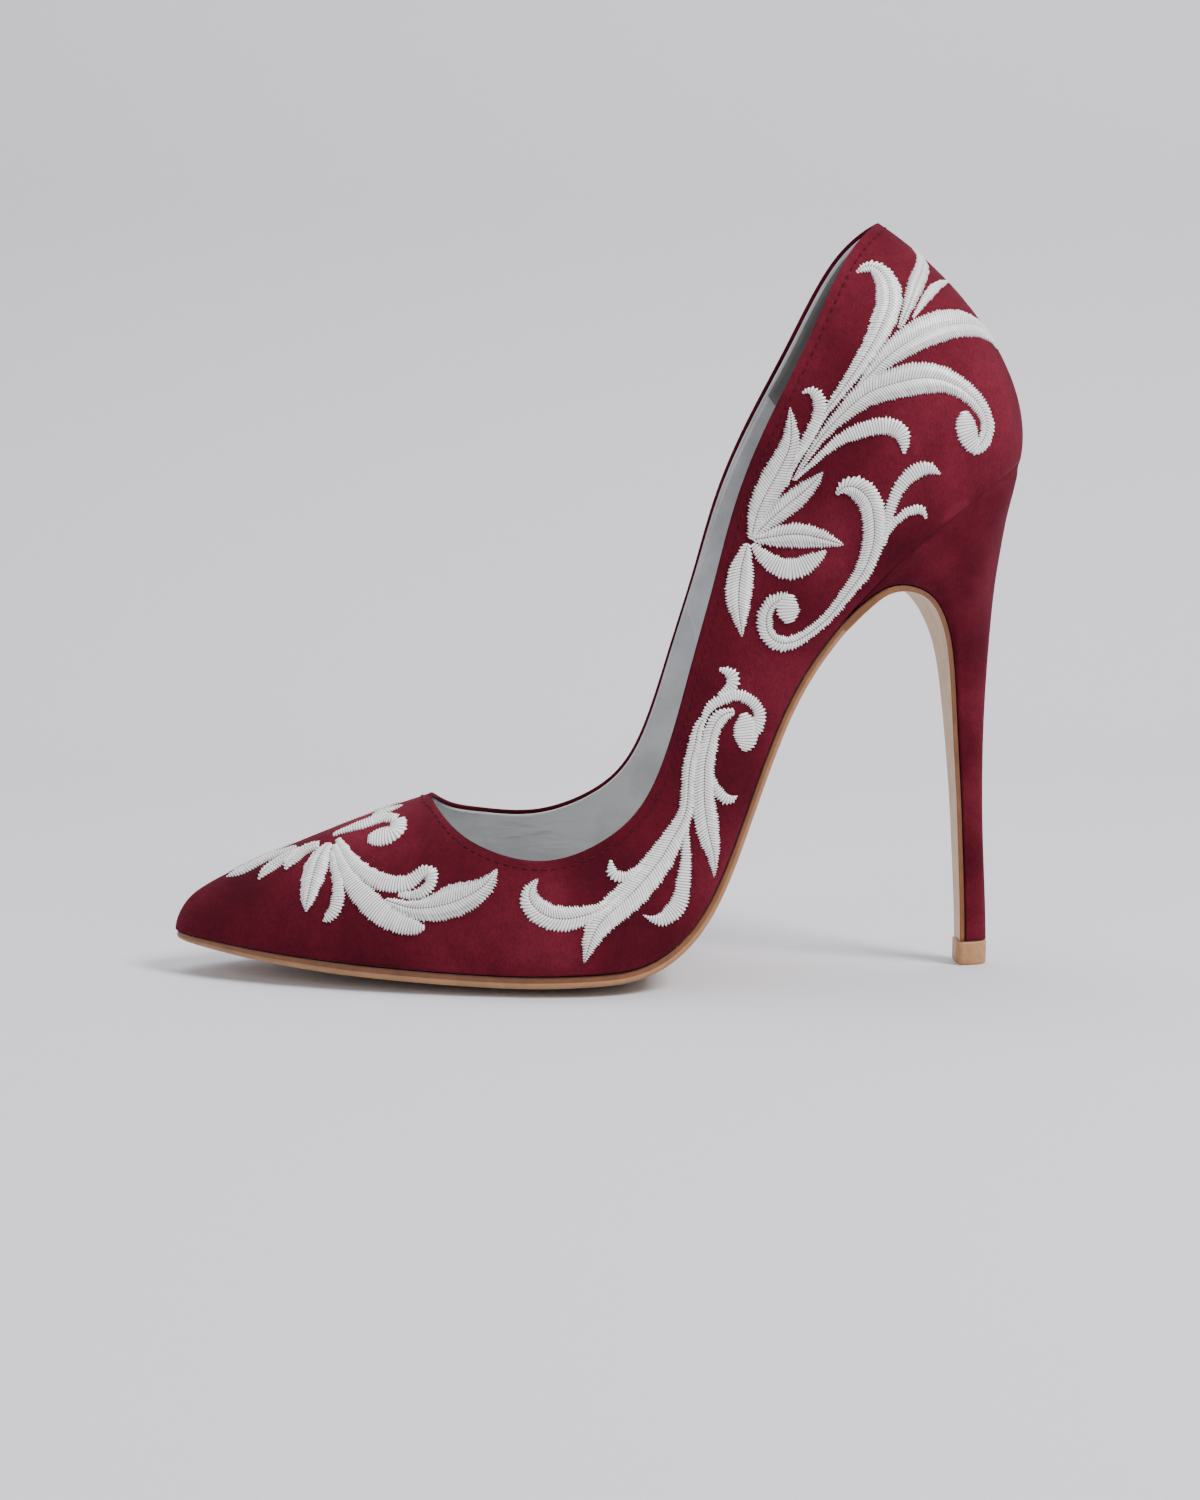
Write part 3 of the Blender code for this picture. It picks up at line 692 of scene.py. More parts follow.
def shell(skin, outside, inside, round_steps):
    """A closed shell between two depths under the skin, with a round edge at the collar."""
    normals = calm_normals(skin.points, skin.quads)
    outer = skin.points - normals * outside
    inner = skin.points - normals * inside
    for face in (outer, inner):
        for i in skin.feather:
            face[i] = bed_point(face[i][0], face[i][1], 0.0)
    radius = (inside - outside) / 2
    down = edge_frame(skin, normals)[1]
    count, loop, feather = len(skin.points), np.array(skin.collar), np.array(skin.feather)
    outer[loop] += down * radius
    inner[loop] += down * radius
    middle = (outer[loop] + inner[loop]) / 2
    rings, extra = [loop], []
    for step in range(1, round_steps):
        angle = pi * step / round_steps
        extra.append(middle + radius * (normals[loop] * cos(angle) - down * sin(angle)))
        rings.append(np.arange(len(loop)) + 2 * count + len(loop) * (step - 1))
    rings.append(loop + count)
    faces = skin.quads + [tuple(i + count for i in quad[::-1]) for quad in skin.quads]
    for low, high in list(zip(rings, rings[1:])) + [(feather, feather + count)]:
        faces += strip(low, high, closed=True)
    return np.vstack([outer, inner] + extra), faces


suede_upper = add_piece("suede_upper", *shell(suede_skin, 0.0, SUEDE_THICKNESS, 6), [upper_suede],
                        slot="upper_suede", stands_for="upper")

# %% [markdown]
# ## The lining
# The lining is glued to the inside of the suede and ends a little below its rolled edge. It is
# drawn from the same skin. Every point close to the collar is moved away from it along the skin,
# so that the lining's own edge runs evenly below the suede's, also round the throat.

# %% Lining
LINING_GAP = 0.95         # the lining's hidden face lies this far inside the suede's outer face
LINING_DROP = 0.65        # the lining ends this far below the suede's edge
COLLAR_FINE = 240         # places on the collar line between two rows of its table
COLLAR_REACH = 6.0        # points closer to the collar than this are moved
ON_COLLAR = 0.2           # points this close to it move the way that the skin's edge points
COLLAR_DENSE = np.array([COLLAR_LINE.at(k / COLLAR_FINE)
                         for k in range(COLLAR_FINE * len(COLLAR_LINE.points))])
LINING_STEPS, LINING_COLUMNS = 8, 36
LINING_ROWS = spaced(LAST_ROW, LINING_STEPS)
lining_skin = make_skin(LINING_ROWS, LINING_COLUMNS)
edge_points, edge_down = edge_frame(lining_skin,
                                    calm_normals(lining_skin.points, lining_skin.quads))


def away_from_collar(points, drop):
    """Move points near the collar away from it, leaving drop between."""
    moved = points.copy()
    for i, point in enumerate(points):
        steps = point - COLLAR_DENSE
        sizes = np.einsum("ij,ij->i", steps, steps)
        nearest = int(np.argmin(sizes))
        gap = sqrt(sizes[nearest])
        if gap < COLLAR_REACH:
            away = steps[nearest] / max(gap, 1e-9)
            if gap < ON_COLLAR:
                away = edge_down[np.argmin(np.linalg.norm(edge_points - point, axis=1))]
            moved[i] = COLLAR_DENSE[nearest] + away * (drop + gap * (1 - drop / COLLAR_REACH))
    return moved


lining_skin = lining_skin._replace(points=away_from_collar(lining_skin.points, LINING_DROP))
lining = add_piece("lining", *shell(lining_skin, LINING_GAP, UPPER_WALL, 4), [lining_leather],
                   slot="sock_leather", stands_for="upper")

# %% [markdown]
# The lining isn't one piece. Its back half is a second piece laid over the first with a seam at
# the waist, and a grip of brushed leather is glued inside the heel so that the shoe doesn't slip.
# Both are patches: a part of the lining's grid, lifted off it by the thickness of the leather.

# %% Back lining and heel grip
LINING_LAYER = 0.28
GRIP_LAYER = 0.35
SEAM_ROW = 11.5
GRIP_ROW = 14.375
PATCH_TOP = 0.7           # a patch ends this far below the lining's own edge
PATCH_FOOT = 2            # and this many rows of points above its foot
SINK = 0.05               # a patch starts this deep in the leather under it


def patch(name, first_row, depth, thick, material):
    """A thin layer on the lining's inner face, from a row on one side round the back."""
    first = list(LINING_ROWS).index(first_row)
    base = away_from_collar(lining_skin.points, PATCH_TOP)
    normals = vertex_normals(base, lining_skin.quads)
    ids = np.array(lining_skin.grid[first:2 * len(LINING_ROWS) - 1 - first])[:, PATCH_FOOT:]
    places = np.arange(ids.size).reshape(ids.shape)
    points = np.vstack([base[ids.ravel()] - normals[ids.ravel()] * offset
                        for offset in (depth, depth + thick)])
    rim = [*places[0], *places[1:, -1], *places[-1, -2::-1], *places[-2:0:-1, 0]]
    quads = [quad for low, high in zip(places, places[1:]) for quad in strip(low, high)]
    faces = [quad[::-1] for quad in quads] + [tuple(i + ids.size for i in quad) for quad in quads]
    faces += [(a, b, b + ids.size, a + ids.size) for a, b in zip(rim, rim[1:] + rim[:1])]
    add_piece(name, points, faces, [material], slot="sock_leather", stands_for="upper")


patch("lining_back", SEAM_ROW, UPPER_WALL - SINK, LINING_LAYER, lining_leather)
patch("heel_grip", GRIP_ROW, UPPER_WALL + LINING_LAYER - 2 * SINK, GRIP_LAYER, grip_leather)

# %% [markdown]
# ## Stitches along the collar
# A row of small stitches in burgundy thread holds suede and lining together just below the edge.
# A curve with a dotted material would do from afar. Real stitches are short rolls that sink into
# the suede at both ends, so each one is a small closed roll that follows the collar.

# %% Collar stitches
STITCH_DROP = 2.3
STITCH_LENGTH = 1.45
STITCH_PITCH = 2.2
STITCH_RADIUS = 0.19
# share of a stitch's length, height of its middle over the suede in radii
STITCH_SHAPE = ((0.0, -0.9), (0.16, 0.05), (0.5, 0.45), (0.84, 0.05), (1.0, -0.9))
STITCH_SIDES = 6
SEAM_FINE = 8             # places on the seam between two stations of the skin
SEAM_STEP = 0.05          # stations to each side, for the seam's direction
EVEN_OUT = 0.01           # keeps a corner's weight in bounds where a point lies on it

suede_tree = BVHTree.FromPolygons([tuple(point) for point in suede_skin.points], suede_skin.quads)


def settle(point):
    """The nearest point of the suede, with its smooth normal."""
    place, _, number, _ = suede_tree.find_nearest(Vector(point))
    place = np.array(place)
    corners = list(suede_skin.quads[number])
    gaps = np.linalg.norm(suede_skin.points[corners] - place, axis=1)
    return place, unit((suede_normals[corners] / (gaps[:, None] ** 2 + EVEN_OUT)).sum(axis=0))


def travelled(line):
    """How far along a line of points each of them lies."""
    steps = np.linalg.norm(np.diff(line, axis=0), axis=1)
    return np.concatenate([[0.0], np.cumsum(steps)])


seam_line = [settle(point + down * STITCH_DROP)[0]
             for point, down in zip(*edge_frame(suede_skin, suede_normals))]
seam_curve = Curve(seam_line, True)
seam_fine = np.linspace(0.0, len(seam_line), SEAM_FINE * len(seam_line) + 1)
seam_lengths = travelled([seam_curve.at(place) for place in seam_fine])
stitch_count = int(seam_lengths[-1] / STITCH_PITCH)
stitch_points, stitch_faces = [], []
for number in range(stitch_count):
    begin = number * seam_lengths[-1] / stitch_count
    rings = []
    for share, height in STITCH_SHAPE:
        place = np.interp(begin + share * STITCH_LENGTH, seam_lengths, seam_fine)
        spot, normal = settle(seam_curve.at(place))
        side = unit(np.cross(normal, direction(seam_curve, place, SEAM_STEP)))
        angles = [2 * pi * k / STITCH_SIDES for k in range(STITCH_SIDES)]
        rings.append([spot + STITCH_RADIUS * (normal * (height + sin(a)) + side * cos(a))
                      for a in angles])
    points, faces = closed_loops(rings)
    stitch_faces += [tuple(corner + len(stitch_points) for corner in face) for face in faces]
    stitch_points += list(points)
add_piece("collar_stitches", stitch_points, stitch_faces, [stitch_thread])
print("stitches", stitch_count)

# %% [markdown]
# ## Insole and its sock
# The insole board gives the shoe its bridge between ball and heel, and a thin sock of lining
# leather covers it. Only its face shows, so board and sock are one piece with a rounded rim.

# %% Insole
INSOLE_THICKNESS = 1.8
INSOLE_SLACK = 0.2
INSOLE_INSET = UPPER_WALL + FIT_GAP + INSOLE_SLACK
# share of the thickness, inset in millimetres
INSOLE_RIM = ((0.0, 0.0), (0.6, 0.0), (0.85, 0.12), (0.97, 0.35), (1.0, 0.8))
ACROSS = 22


def inner_steps(start, end):
    """Points that divide the way from start to end."""
    return [start + (end - start) * k / ACROSS for k in range(1, ACROSS)]


insole_loops = []
for row in spaced(LAST_ROW, 6)[1:-1]:
    left, right = ([bed_point(*feather_edge(side, row, INSOLE_INSET + inset),
                              share * INSOLE_THICKNESS) for share, inset in INSOLE_RIM]
                   for side in (OUTER, INNER))
    rims = [np.array(feather_edge(side, row, INSOLE_INSET + INSOLE_RIM[-1][1]))
            for side in (OUTER, INNER)]
    tops = [bed_point(x, y, INSOLE_THICKNESS) for x, y in inner_steps(*rims)]
    lows = [bed_point(x, y, 0.0) for x, y in inner_steps(*rims)[::-1]]
    insole_loops.append(left + tops + right[::-1] + lows)
add_piece("sock_and_insole", *closed_loops(insole_loops, flat_ends=True), [sock_leather],
          slot="sock_leather", stands_for="insole")

# %% [markdown]
# ## The leather sole
# One piece of leather runs from the toe through the arch and down the breast of the heel. Its
# edge is cut square, stained darker along the upper and burnished, and the corner below is
# rounded by wear. The section is therefore a list of steps from the top face to the bottom one,
# and it is swept along the feather line and down the heel.

# %% Breast of the heel
LIFT_HEIGHT = 5.6
LIFT_WIDTH = 7.7
LIFT_BACK = 3.9
LIFT_FRONT = 3.4
LIFT_MARGIN = 0.1         # the stem is this much narrower than its lift
FLAP_THICKNESS = 1.1
THINNING_ROWS = 3         # rows over which the leather thins and its hollow fades
# along, rise, width, back_along, back_rise, wing
BREAST = (
    (0.7940, 0.711, 0.615, 0.998, 0.990, 0.640),
    (0.8200, 0.745, 0.595, 0.997, 0.980, 0.620),
    (0.8460, 0.758, 0.565, 0.996, 0.964, 0.590),
    (0.8740, 0.748, 0.500, 0.991, 0.930, 0.545),
    (0.8950, 0.716, 0.415, 0.984, 0.880, 0.470),
    (0.9090, 0.668, 0.325, 0.978, 0.815, 0.370),
    (0.9190, 0.594, 0.235, 0.971, 0.715, 0.262),
    (0.9270, 0.460, 0.165, 0.964, 0.520, 0.180),
    (0.9330, 0.335, 0.137, 0.963, 0.360, 0.146),
    (0.9365, 0.234, 0.124, 0.965, 0.247, 0.130),
    (0.9400, 0.117, 0.112, 0.969, 0.121, 0.116),
)
BREAST_END = len(BREAST)
STEM_END = LIFT_HEIGHT + FIT_GAP
STEM_HALF = LIFT_WIDTH / 2 - LIFT_MARGIN
FLAP_END = (-LIFT_FRONT + FLAP_THICKNESS + FIT_GAP, STEM_END, STEM_HALF, LIFT_BACK - LIFT_MARGIN,
            STEM_END, STEM_HALF)
BREAST_LINE = Curve([(place_x(along), rise * HEEL_HEIGHT, width * BALL_WIDTH / 2,
                      place_x(back_along), back_rise * HEEL_HEIGHT, wing * BALL_WIDTH / 2)
                     for along, rise, width, back_along, back_rise, wing in BREAST] + [FLAP_END],
                    False)


def flap_hollow(row, y):
    """How far the flap's edges stand over its middle, fading out below the arch."""
    return max(0.0, 1.0 - row / THINNING_ROWS) * y * y / (2 * BED_RADIUS)


def flap_normal(row):
    """Direction from the flap's face into the heel."""
    along, rise = unit(direction(BREAST_LINE, row)[:2])
    return np.array([-rise, 0.0, along])


print("breast of the heel ends at", BREAST_LINE.at(BREAST_END).round(1))

# %% Section of the sole
TIP_THICKNESS = 1.6
ARCH_THICKNESS = 1.9
OUTSOLE_INSET = 0.5
BALL_ROW = 8
ARCH_ROWS = 13
TIP_ROWS = 4
DARK, STAINED, TAN, PALE = 0, 1, 2, 3
# share of the thickness, inset in millimetres, finish of the strip below
SOLE_EDGE = (
    (0.00, 0.12, DARK),
    (0.05, 0.00, DARK),
    (0.15, 0.00, STAINED),
    (0.46, 0.00, STAINED),
    (0.51, 0.09, TAN),
    (0.56, 0.00, TAN),
    (0.78, 0.02, TAN),
    (0.92, 0.16, TAN),
    (0.98, 0.42, PALE),
    (1.00, 0.90, PALE),
)


def sole_thickness(row):
    """The outsole is thickest at the ball, thinner at the tip of the toe and under the arch."""
    if row < TIP_ROWS:
        return TIP_THICKNESS + (OUTSOLE_THICKNESS - TIP_THICKNESS) * row / TIP_ROWS
    share = min(1.0, max(0.0, (row - BALL_ROW) / THINNING_ROWS))
    return OUTSOLE_THICKNESS + (ARCH_THICKNESS - OUTSOLE_THICKNESS) * share


def sole_loop(edge_point, face_point):
    """One closed section: left edge down, bottom across, right edge up, top back across."""
    left, right = ([edge_point(side, share, inset) for share, inset, _ in SOLE_EDGE]
                   for side in (OUTER, INNER))
    bottom = [face_point(left[-1], right[-1], k / ACROSS, 1.0) for k in range(1, ACROSS)]
    top = [face_point(right[0], left[0], k / ACROSS, 0.0) for k in range(1, ACROSS)]
    return left + bottom + right[::-1] + top


def bed_loop(row):
    thick = sole_thickness(row)

    def edge_point(side, share, inset):
        return bed_point(*feather_edge(side, row, OUTSOLE_INSET + inset), -FIT_GAP - share * thick)

    def face_point(start, end, share, depth):
        lift = -FIT_GAP - depth * thick
        start, end = (np.array([2 * x - bed_point(x, y, lift)[0], y]) for x, y, _ in (start, end))
        return bed_point(*(start + (end - start) * share), lift)

    loop = sole_loop(edge_point, face_point)
    for point in loop:
        point[2] = max(point[2], 0.0)
    return loop


def breast_loop(row):
    x, z, width = BREAST_LINE.at(row)[:3]
    thick = ARCH_THICKNESS + (FLAP_THICKNESS - ARCH_THICKNESS) * min(1.0, row / THINNING_ROWS)
    normal = flap_normal(row)

    def flap_point(y, share):
        return np.array([x, y, z + flap_hollow(row, y)]) - share * thick * normal

    def edge_point(side, share, inset):
        return flap_point(side * (width - inset * thick / OUTSOLE_THICKNESS), share)

    def face_point(start, end, share, depth):
        return flap_point(start[1] + (end[1] - start[1]) * share, depth)

    return sole_loop(edge_point, face_point)


print("sole at tip, ball and arch", [sole_thickness(row) for row in (0, BALL_ROW, ARCH_ROWS)])

# %% Outsole
SOLE_STEPS, FLAP_STEPS = 9, 6
bed_loops = [bed_loop(row) for row in spaced(ARCH_ROWS, SOLE_STEPS)]
flap_loops = [breast_loop(row) for row in spaced(BREAST_END, FLAP_STEPS)]
edge_finish = [finish for _, _, finish in SOLE_EDGE[:-1]]
bed_finish = edge_finish + [PALE] * ACROSS + edge_finish[::-1] + [DARK] * ACROSS
flap_finish = [STAINED if finish == TAN else finish for finish in bed_finish]
sole_slots = bed_finish * (len(bed_loops) - 1) + flap_finish * len(flap_loops) + [DARK, TAN]
add_piece("leather_outsole", *closed_loops(bed_loops + flap_loops, flat_ends=True), sole_leathers,
          face_slots=sole_slots, slot="sole_leather", stands_for="outsole")

# %% [markdown]
# ## The heel and its top lift
# The heel is a moulded core with suede glued round it. Its sections fan from the slanting seat
# under the foot to the level tip, and each is rounder at the back than at its corners in front.
# The top lift is the little wearing piece under it, moulded with a slightly larger outline.

# %% Seat of the heel
HEEL_LIP = 0.5
HEEL_STEPS = 20
SEAT_POWER = 3.2
STEM_POWER = 2.1
LIFT_POWER = 2.9
ROUNDING = 1.8            # the section is fully round at 1 / ROUNDING of the way down
FLARE_SHARE = 0.4         # the sides reach their full width at this share of the depth
SEAM_GAP = 0.05           # the heel's cover meets the upper this closely
SEAT_ROW, SEAT_STEPS = 11, 400
START_STEP = 0.02
ROW_MARGIN = 0.05         # no section is this close below the first one


def heel_outline(front_width, wing, power):
    """The heel's outline in a section: share from front to back, and half width."""
    outline = []
    for k in range(HEEL_STEPS + 1):
        angle = pi / 2 * k / HEEL_STEPS
        share = sin(angle) ** (2 / power)
        flare = min(1.0, share / FLARE_SHARE)
        outline.append((share, (front_width + (wing - front_width) * flare) * cos(angle)))
    return outline


def heel_start():
    """Row of the breast where the seat is thick enough for the heel's front edge."""
    row = 0.0
    while True:
        x, z = BREAST_LINE.at(row)[:2]
        if bed_point(x, 0.0, 0.0)[2] - z > HEEL_LIP + 2 * FIT_GAP:
            return row, x
        row += START_STEP


first_row, seat_front = heel_start()
outer_seat, inner_seat = (
    np.array([feather_edge(side, row, SEAM_GAP)
              for row in np.linspace(SEAT_ROW, LAST_ROW, SEAT_STEPS + 1)])
    for side in (OUTER, INNER))
seat_back = outer_seat[-1][0]


def seat_loop():
    places = [seat_front + share * (seat_back - seat_front)
              for share, _ in heel_outline(1.0, 1.0, SEAT_POWER)]
    left, right = ([bed_point(x, np.interp(x, *seat.T), -SEAM_GAP) for x in places]
                   for seat in (outer_seat, inner_seat))
    return left + right[::-1]


print("the heel starts at row", round(first_row, 2))

# %% Heel
def mirrored(points):
    """A closed loop from the points of its outer half."""
    points = np.array(points)
    return [*points, *(points[::-1] * (1.0, -1.0, 1.0))]


def heel_loop(row):
    x, z, width, back_x, back_z, wing = BREAST_LINE.at(row)
    x, _, z = np.array([x, 0.0, z]) + FIT_GAP * flap_normal(row)
    power = SEAT_POWER + (STEM_POWER - SEAT_POWER) * min(1.0, row / BREAST_END * ROUNDING)
    return mirrored([(x + share * (back_x - x), -half,
                      z + share * (back_z - z) + (1 - share) * flap_hollow(row, half))
                     for share, half in heel_outline(width, wing, power)])


heel_rows = [first_row] + [row for row in spaced(BREAST_END, FLAP_STEPS)
                           if row > first_row + ROW_MARGIN]
heel = add_piece("suede_heel", *closed_loops([seat_loop()] + [heel_loop(row) for row in heel_rows]),
                 [heel_suede], slot="heel_suede", stands_for="heel")

# %% [markdown]
# The top lift could be a cylinder, but its outline is the stem's, only a little squarer. Five
# rings are enough: two round its edge on the floor, two make the straight wall, one is the top.

# %% Top lift
# height as a share, inset in millimetres
LIFT_EDGE = ((0.0, 0.35), (0.04, 0.10), (0.10, 0.0), (0.92, 0.0), (1.0, 0.15))
lift_outline = heel_outline(LIFT_WIDTH / 2, LIFT_WIDTH / 2, LIFT_POWER)
lift_loops = [mirrored([((share * (LIFT_BACK + LIFT_FRONT) - LIFT_FRONT) * (1 - inset / LIFT_BACK),
                         -half * (1 - 2 * inset / LIFT_WIDTH), height * LIFT_HEIGHT)
                        for share, half in lift_outline]) for height, inset in LIFT_EDGE]
add_piece("wearing_top_lift", *closed_loops(lift_loops), [lift_rubber], slot="lift_rubber",
          stands_for="top_lift")

# %% [markdown]
# ## The embroidery
# Scrolling leaves, a flower and volutes are sewn in white silk before the upper is lasted. Each
# leaf is satin stitch: threads laid side by side across it over a padding, so it stands up round,
# and a leaf with a vein has two rows of slanted stitches that meet in the middle. A painted mask
# would look flat, so every leaf is a small mesh of its threads. Its middle line is charted on
# the picture, with half its width in millimetres beside each point.

# %% Rays from the camera to the suede
PICTURE_MIDDLE = (600.0, 750.0)
SEARCH = range(-60, 61, 3)    # millimetres before and behind the shoe's middle plane
camera_turn = camera.rotation_euler.to_matrix()
camera_place = Vector(CAMERA_PLACE) / MM


def picture_ray(x, y):
    return camera_turn @ Vector(((x - PICTURE_MIDDLE[0]) / FOCAL_PIXELS,
                                 (PICTURE_MIDDLE[1] - y) / FOCAL_PIXELS, -1.0))


def on_suede(x, y):
    """The suede's point seen at a point of the picture, or past its outline the nearest one."""
    ray = picture_ray(x, y)
    hit = suede_tree.ray_cast(camera_place, ray)[0]
    if hit is None:
        depth = -camera_place.y / ray.y
        hit = min((suede_tree.find_nearest(camera_place + ray * (depth + step))
                   for step in SEARCH), key=lambda found: found[3])[0]
    return np.array(hit)


def across_shoe(point):
    """The same place on the other side: the same row and share of the last."""
    place, _, number, _ = suede_tree.find_nearest(Vector(point))
    grid = suede_skin.grid
    station, column = divmod(number, len(grid[0]) - 1)

    def frame_at(first, second):
        """A corner of the grid, with the ways from it along the shoe and up."""
        start, along, up = (suede_skin.points[grid[a % len(grid)][column + k]]
                            for a, k in ((first, 0), (second, 0), (first, 1)))
        return start, along - start, up - start

    start, along, up = frame_at(station, station + 1)
    share = np.linalg.lstsq(np.column_stack([along, up]), np.array(place) - start, rcond=None)[0]
    start, along, up = frame_at(-station, -station - 1)
    return start + share[0] * along + share[1] * up

# %% [markdown]
# The light and shade that fall on the shoe's rounded form are painted into the suede as soft
# strokes, lighter and darker, beside one short rub of real wear. Noise can't put them in their
# right places, so each one is a row of a table: a point of the picture, a reach in millimetres and
# a shade. They are kept at the mesh's points.

# %% Painted light and shade in the suede
# x and y in the picture, reach in millimetres, shade: below 0 is painted shade, above 0 painted
# light
UPPER_PAINTED_LIGHT_AND_RUB = (
    (925, 470, 18.0, 1.4),    # painted light over the side of the back
    (985, 400, 12.0, 0.8),
    (940, 556, 9.0, -0.9),    # painted shade between scroll and heel
    (925, 595, 10.0, -1.0),
    (345, 945, 22.0, -0.8),   # painted shade low on the side of the toe
    (735, 900, 11.0, 1.5),    # painted light where the waist bends
    (575, 965, 10.0, 0.5),    # and along the ball
    (862, 252, 9.0, 0.4),     # painted light on the top of the back
    (951, 517, 1.5, 1.8),     # a short thin rub, slanting up to the right
    (957, 513, 1.5, 2.4),
    (963, 509, 1.5, 2.6),
)
HEEL_PAINTED_LIGHT = (
    (945, 600, 14.0, -1.0),   # painted shade where the heel widens
    (970, 560, 7.0, -0.8),
    (995, 590, 7.0, 0.8),     # a streak of painted light beside it
    (980, 800, 16.0, 0.2),
    (978, 955, 20.0, 1.4),    # painted light down at the tip
)
LINING_CREASES_AND_SHINE = (
    (505, 822, 8.0, 0.9),     # creases, and a painted shine where the foot bends the lining
    (535, 832, 9.0, 1.0),
    (575, 846, 9.0, 0.9),
    (640, 800, 7.0, 0.5),
)


def paint_strokes(piece, strokes, find_place):
    """Store at each point of a piece how strong the painted light, shade and marks near it are."""
    mesh = piece.data
    points = np.array([vertex.co[:] for vertex in mesh.vertices]) / MM
    shade = np.zeros(len(points))
    for x, y, reach, amount in strokes:
        gaps = np.linalg.norm(points - find_place(x, y), axis=1)
        shade += amount * np.exp(-(gaps / reach) ** 2)
    mesh.attributes.new("painted_light_and_marks", "FLOAT", "POINT").data.foreach_set("value", shade)
    print(piece.name, "nap from", shade.min().round(2), "to", shade.max().round(2))


def on_middle_plane(x, y):
    """Where the ray through a point of the picture crosses the shoe's middle plane."""
    ray = picture_ray(x, y)
    return np.array(camera_place - ray * (camera_place.y / ray.y))


paint_strokes(suede_upper, UPPER_PAINTED_LIGHT_AND_RUB, on_suede)
paint_strokes(lining, LINING_CREASES_AND_SHINE, on_suede)
paint_strokes(heel, HEEL_PAINTED_LIGHT, on_middle_plane)

# %% [markdown]
# A satin stitch lies over a padding and pulls the suede in at both ends. Each thread is two rows
# of points, one on the thread and one in the gap after it. The rows on threads stand higher and
# reach further, which gives the serrated edge of real stitches.

# %% One embroidered leaf
LEAF, SATIN = "leaf", "satin"
THREAD_PITCH = 0.64
THREAD_RISE = 0.17        # a thread stands this far over the gaps beside it, times RISE_SPREAD
RISE_SPREAD = (0.7, 1.3)
THREAD_ENDS = (0.08, 0.52)    # how far threads reach past the charted edge
GAP_ENDS = (-0.42, -0.12)     # and how far the gaps between them cut into it
CROWN = 0.50
CROWN_POWER = 2.6         # higher is flatter on top
FULL_HALF = 1.5           # a leaf with this half width has the whole crown
SLIM_POWER = 0.6          # lower keeps slim leaves higher
VEIN_DEPTH = 0.36
VEIN_FULL = 1.2           # and one with this has the whole vein
VEIN_SHARE = 0.13         # half the vein's width, as a share of the leaf's half width
LEAF_SLANT = 0.42
END_HEIGHT, END_REACH = 0.35, 0.9    # a leaf starts this high and has its height after this
LEAST_HALF = 0.05
LAST_THREAD = 0.02        # no thread is closer to the leaf's end
LEAF_FINE = 30            # places on a leaf's middle line for each charted point
LEAF_STEP = 0.03          # charted points to each side, for its direction
ROOT_DEPTH = 0.25         # the leaf's edge and base are this deep in the suede
JAGGED_FROM = 0.7         # columns further out than this follow the threads' ends
ACROSS_LEAF = (-1.0, -0.95, -0.80, -0.50, -VEIN_SHARE, 0.0, VEIN_SHARE, 0.50, 0.80, 0.95, 1.0)
SATIN_SHIFT = 100.0       # moves a leaf without a vein off the vein's place in the silk's pattern


class Threads:
    """Points, faces and thread coordinates of many leaves, gathered for one mesh."""

    def __init__(self):
        self.points, self.faces, self.places = [], [], []

    def add_leaf(self, kind, spine, left, right, chance):
        path = Curve(spine, False)
        widths = Curve(np.column_stack([left, right]), False)
        fine = np.linspace(0.0, len(spine) - 1, LEAF_FINE * len(spine))
        lengths = travelled([path.at(place) for place in fine])
        total = lengths[-1]
        count = max(6, int(2 * total / THREAD_PITCH))
        slant = LEAF_SLANT if kind == LEAF else 0.0

        def half_width(here, column):
            first, second = widths.at(np.interp(here, lengths, fine))
            share = (column + 1) / 2
            return max(LEAST_HALF, first * share + second * (1 - share))

        def thread_point(here, column, rise, jag):
            out = abs(column)
            there = min(here + slant * out * half_width(here, column), total - LAST_THREAD)
            half = half_width(there, column)
            place = np.interp(there, lengths, fine)
            middle, normal = settle(path.at(place))
            run = path.at(min(place + LEAF_STEP, fine[-1])) - path.at(max(place - LEAF_STEP, 0.0))
            offset = column * half
            if out > JAGGED_FROM:
                offset += np.sign(column) * jag * min(1.0, half)
            spot, normal = settle(middle + unit(np.cross(normal, run)) * offset)
            bulge = sqrt(max(0.0, 1.0 - out ** CROWN_POWER))
            height = CROWN * bulge * min(1.0, (half / FULL_HALF) ** SLIM_POWER)
            height *= min(1.0, END_HEIGHT + min(here, total - here) / END_REACH)
            if kind == LEAF:
                height -= VEIN_DEPTH * max(0.0, 1.0 - out / VEIN_SHARE) * min(1.0, half / VEIN_FULL)
            height = -ROOT_DEPTH if out == 1.0 else height + rise * bulge
            return spot + normal * height, offset + SATIN_SHIFT * (kind == SATIN)

        rows = []
        for i in range(count + 1):
            on_thread = i % 2
            jags = chance.uniform(*(THREAD_ENDS if on_thread else GAP_ENDS), 2)
            rise = THREAD_RISE * chance.uniform(*RISE_SPREAD) * on_thread
            rows.append([thread_point(total * i / count, column, rise, jags[int(column > 0)])
                         for column in ACROSS_LEAF])
        self.join(rows)

    def join(self, rows):
        columns = len(ACROSS_LEAF)
        numbers = np.arange(len(rows) * columns).reshape(-1, columns) + len(self.points)
        for i, row in enumerate(rows):
            self.points += [top for top, _ in row]
            self.places += [(i / 2.0, offset) for _, offset in row]
        for low, high in zip(numbers, numbers[1:]):
            self.faces += strip(low, high, closed=True)
        self.faces += [tuple(numbers[0]), tuple(numbers[-1])]

# %% [markdown]
# The chart is the embroiderer's drawing. Each point is x and y in the picture, then half the
# width in millimetres: once where both sides are alike, or left and right of the leaf's way.

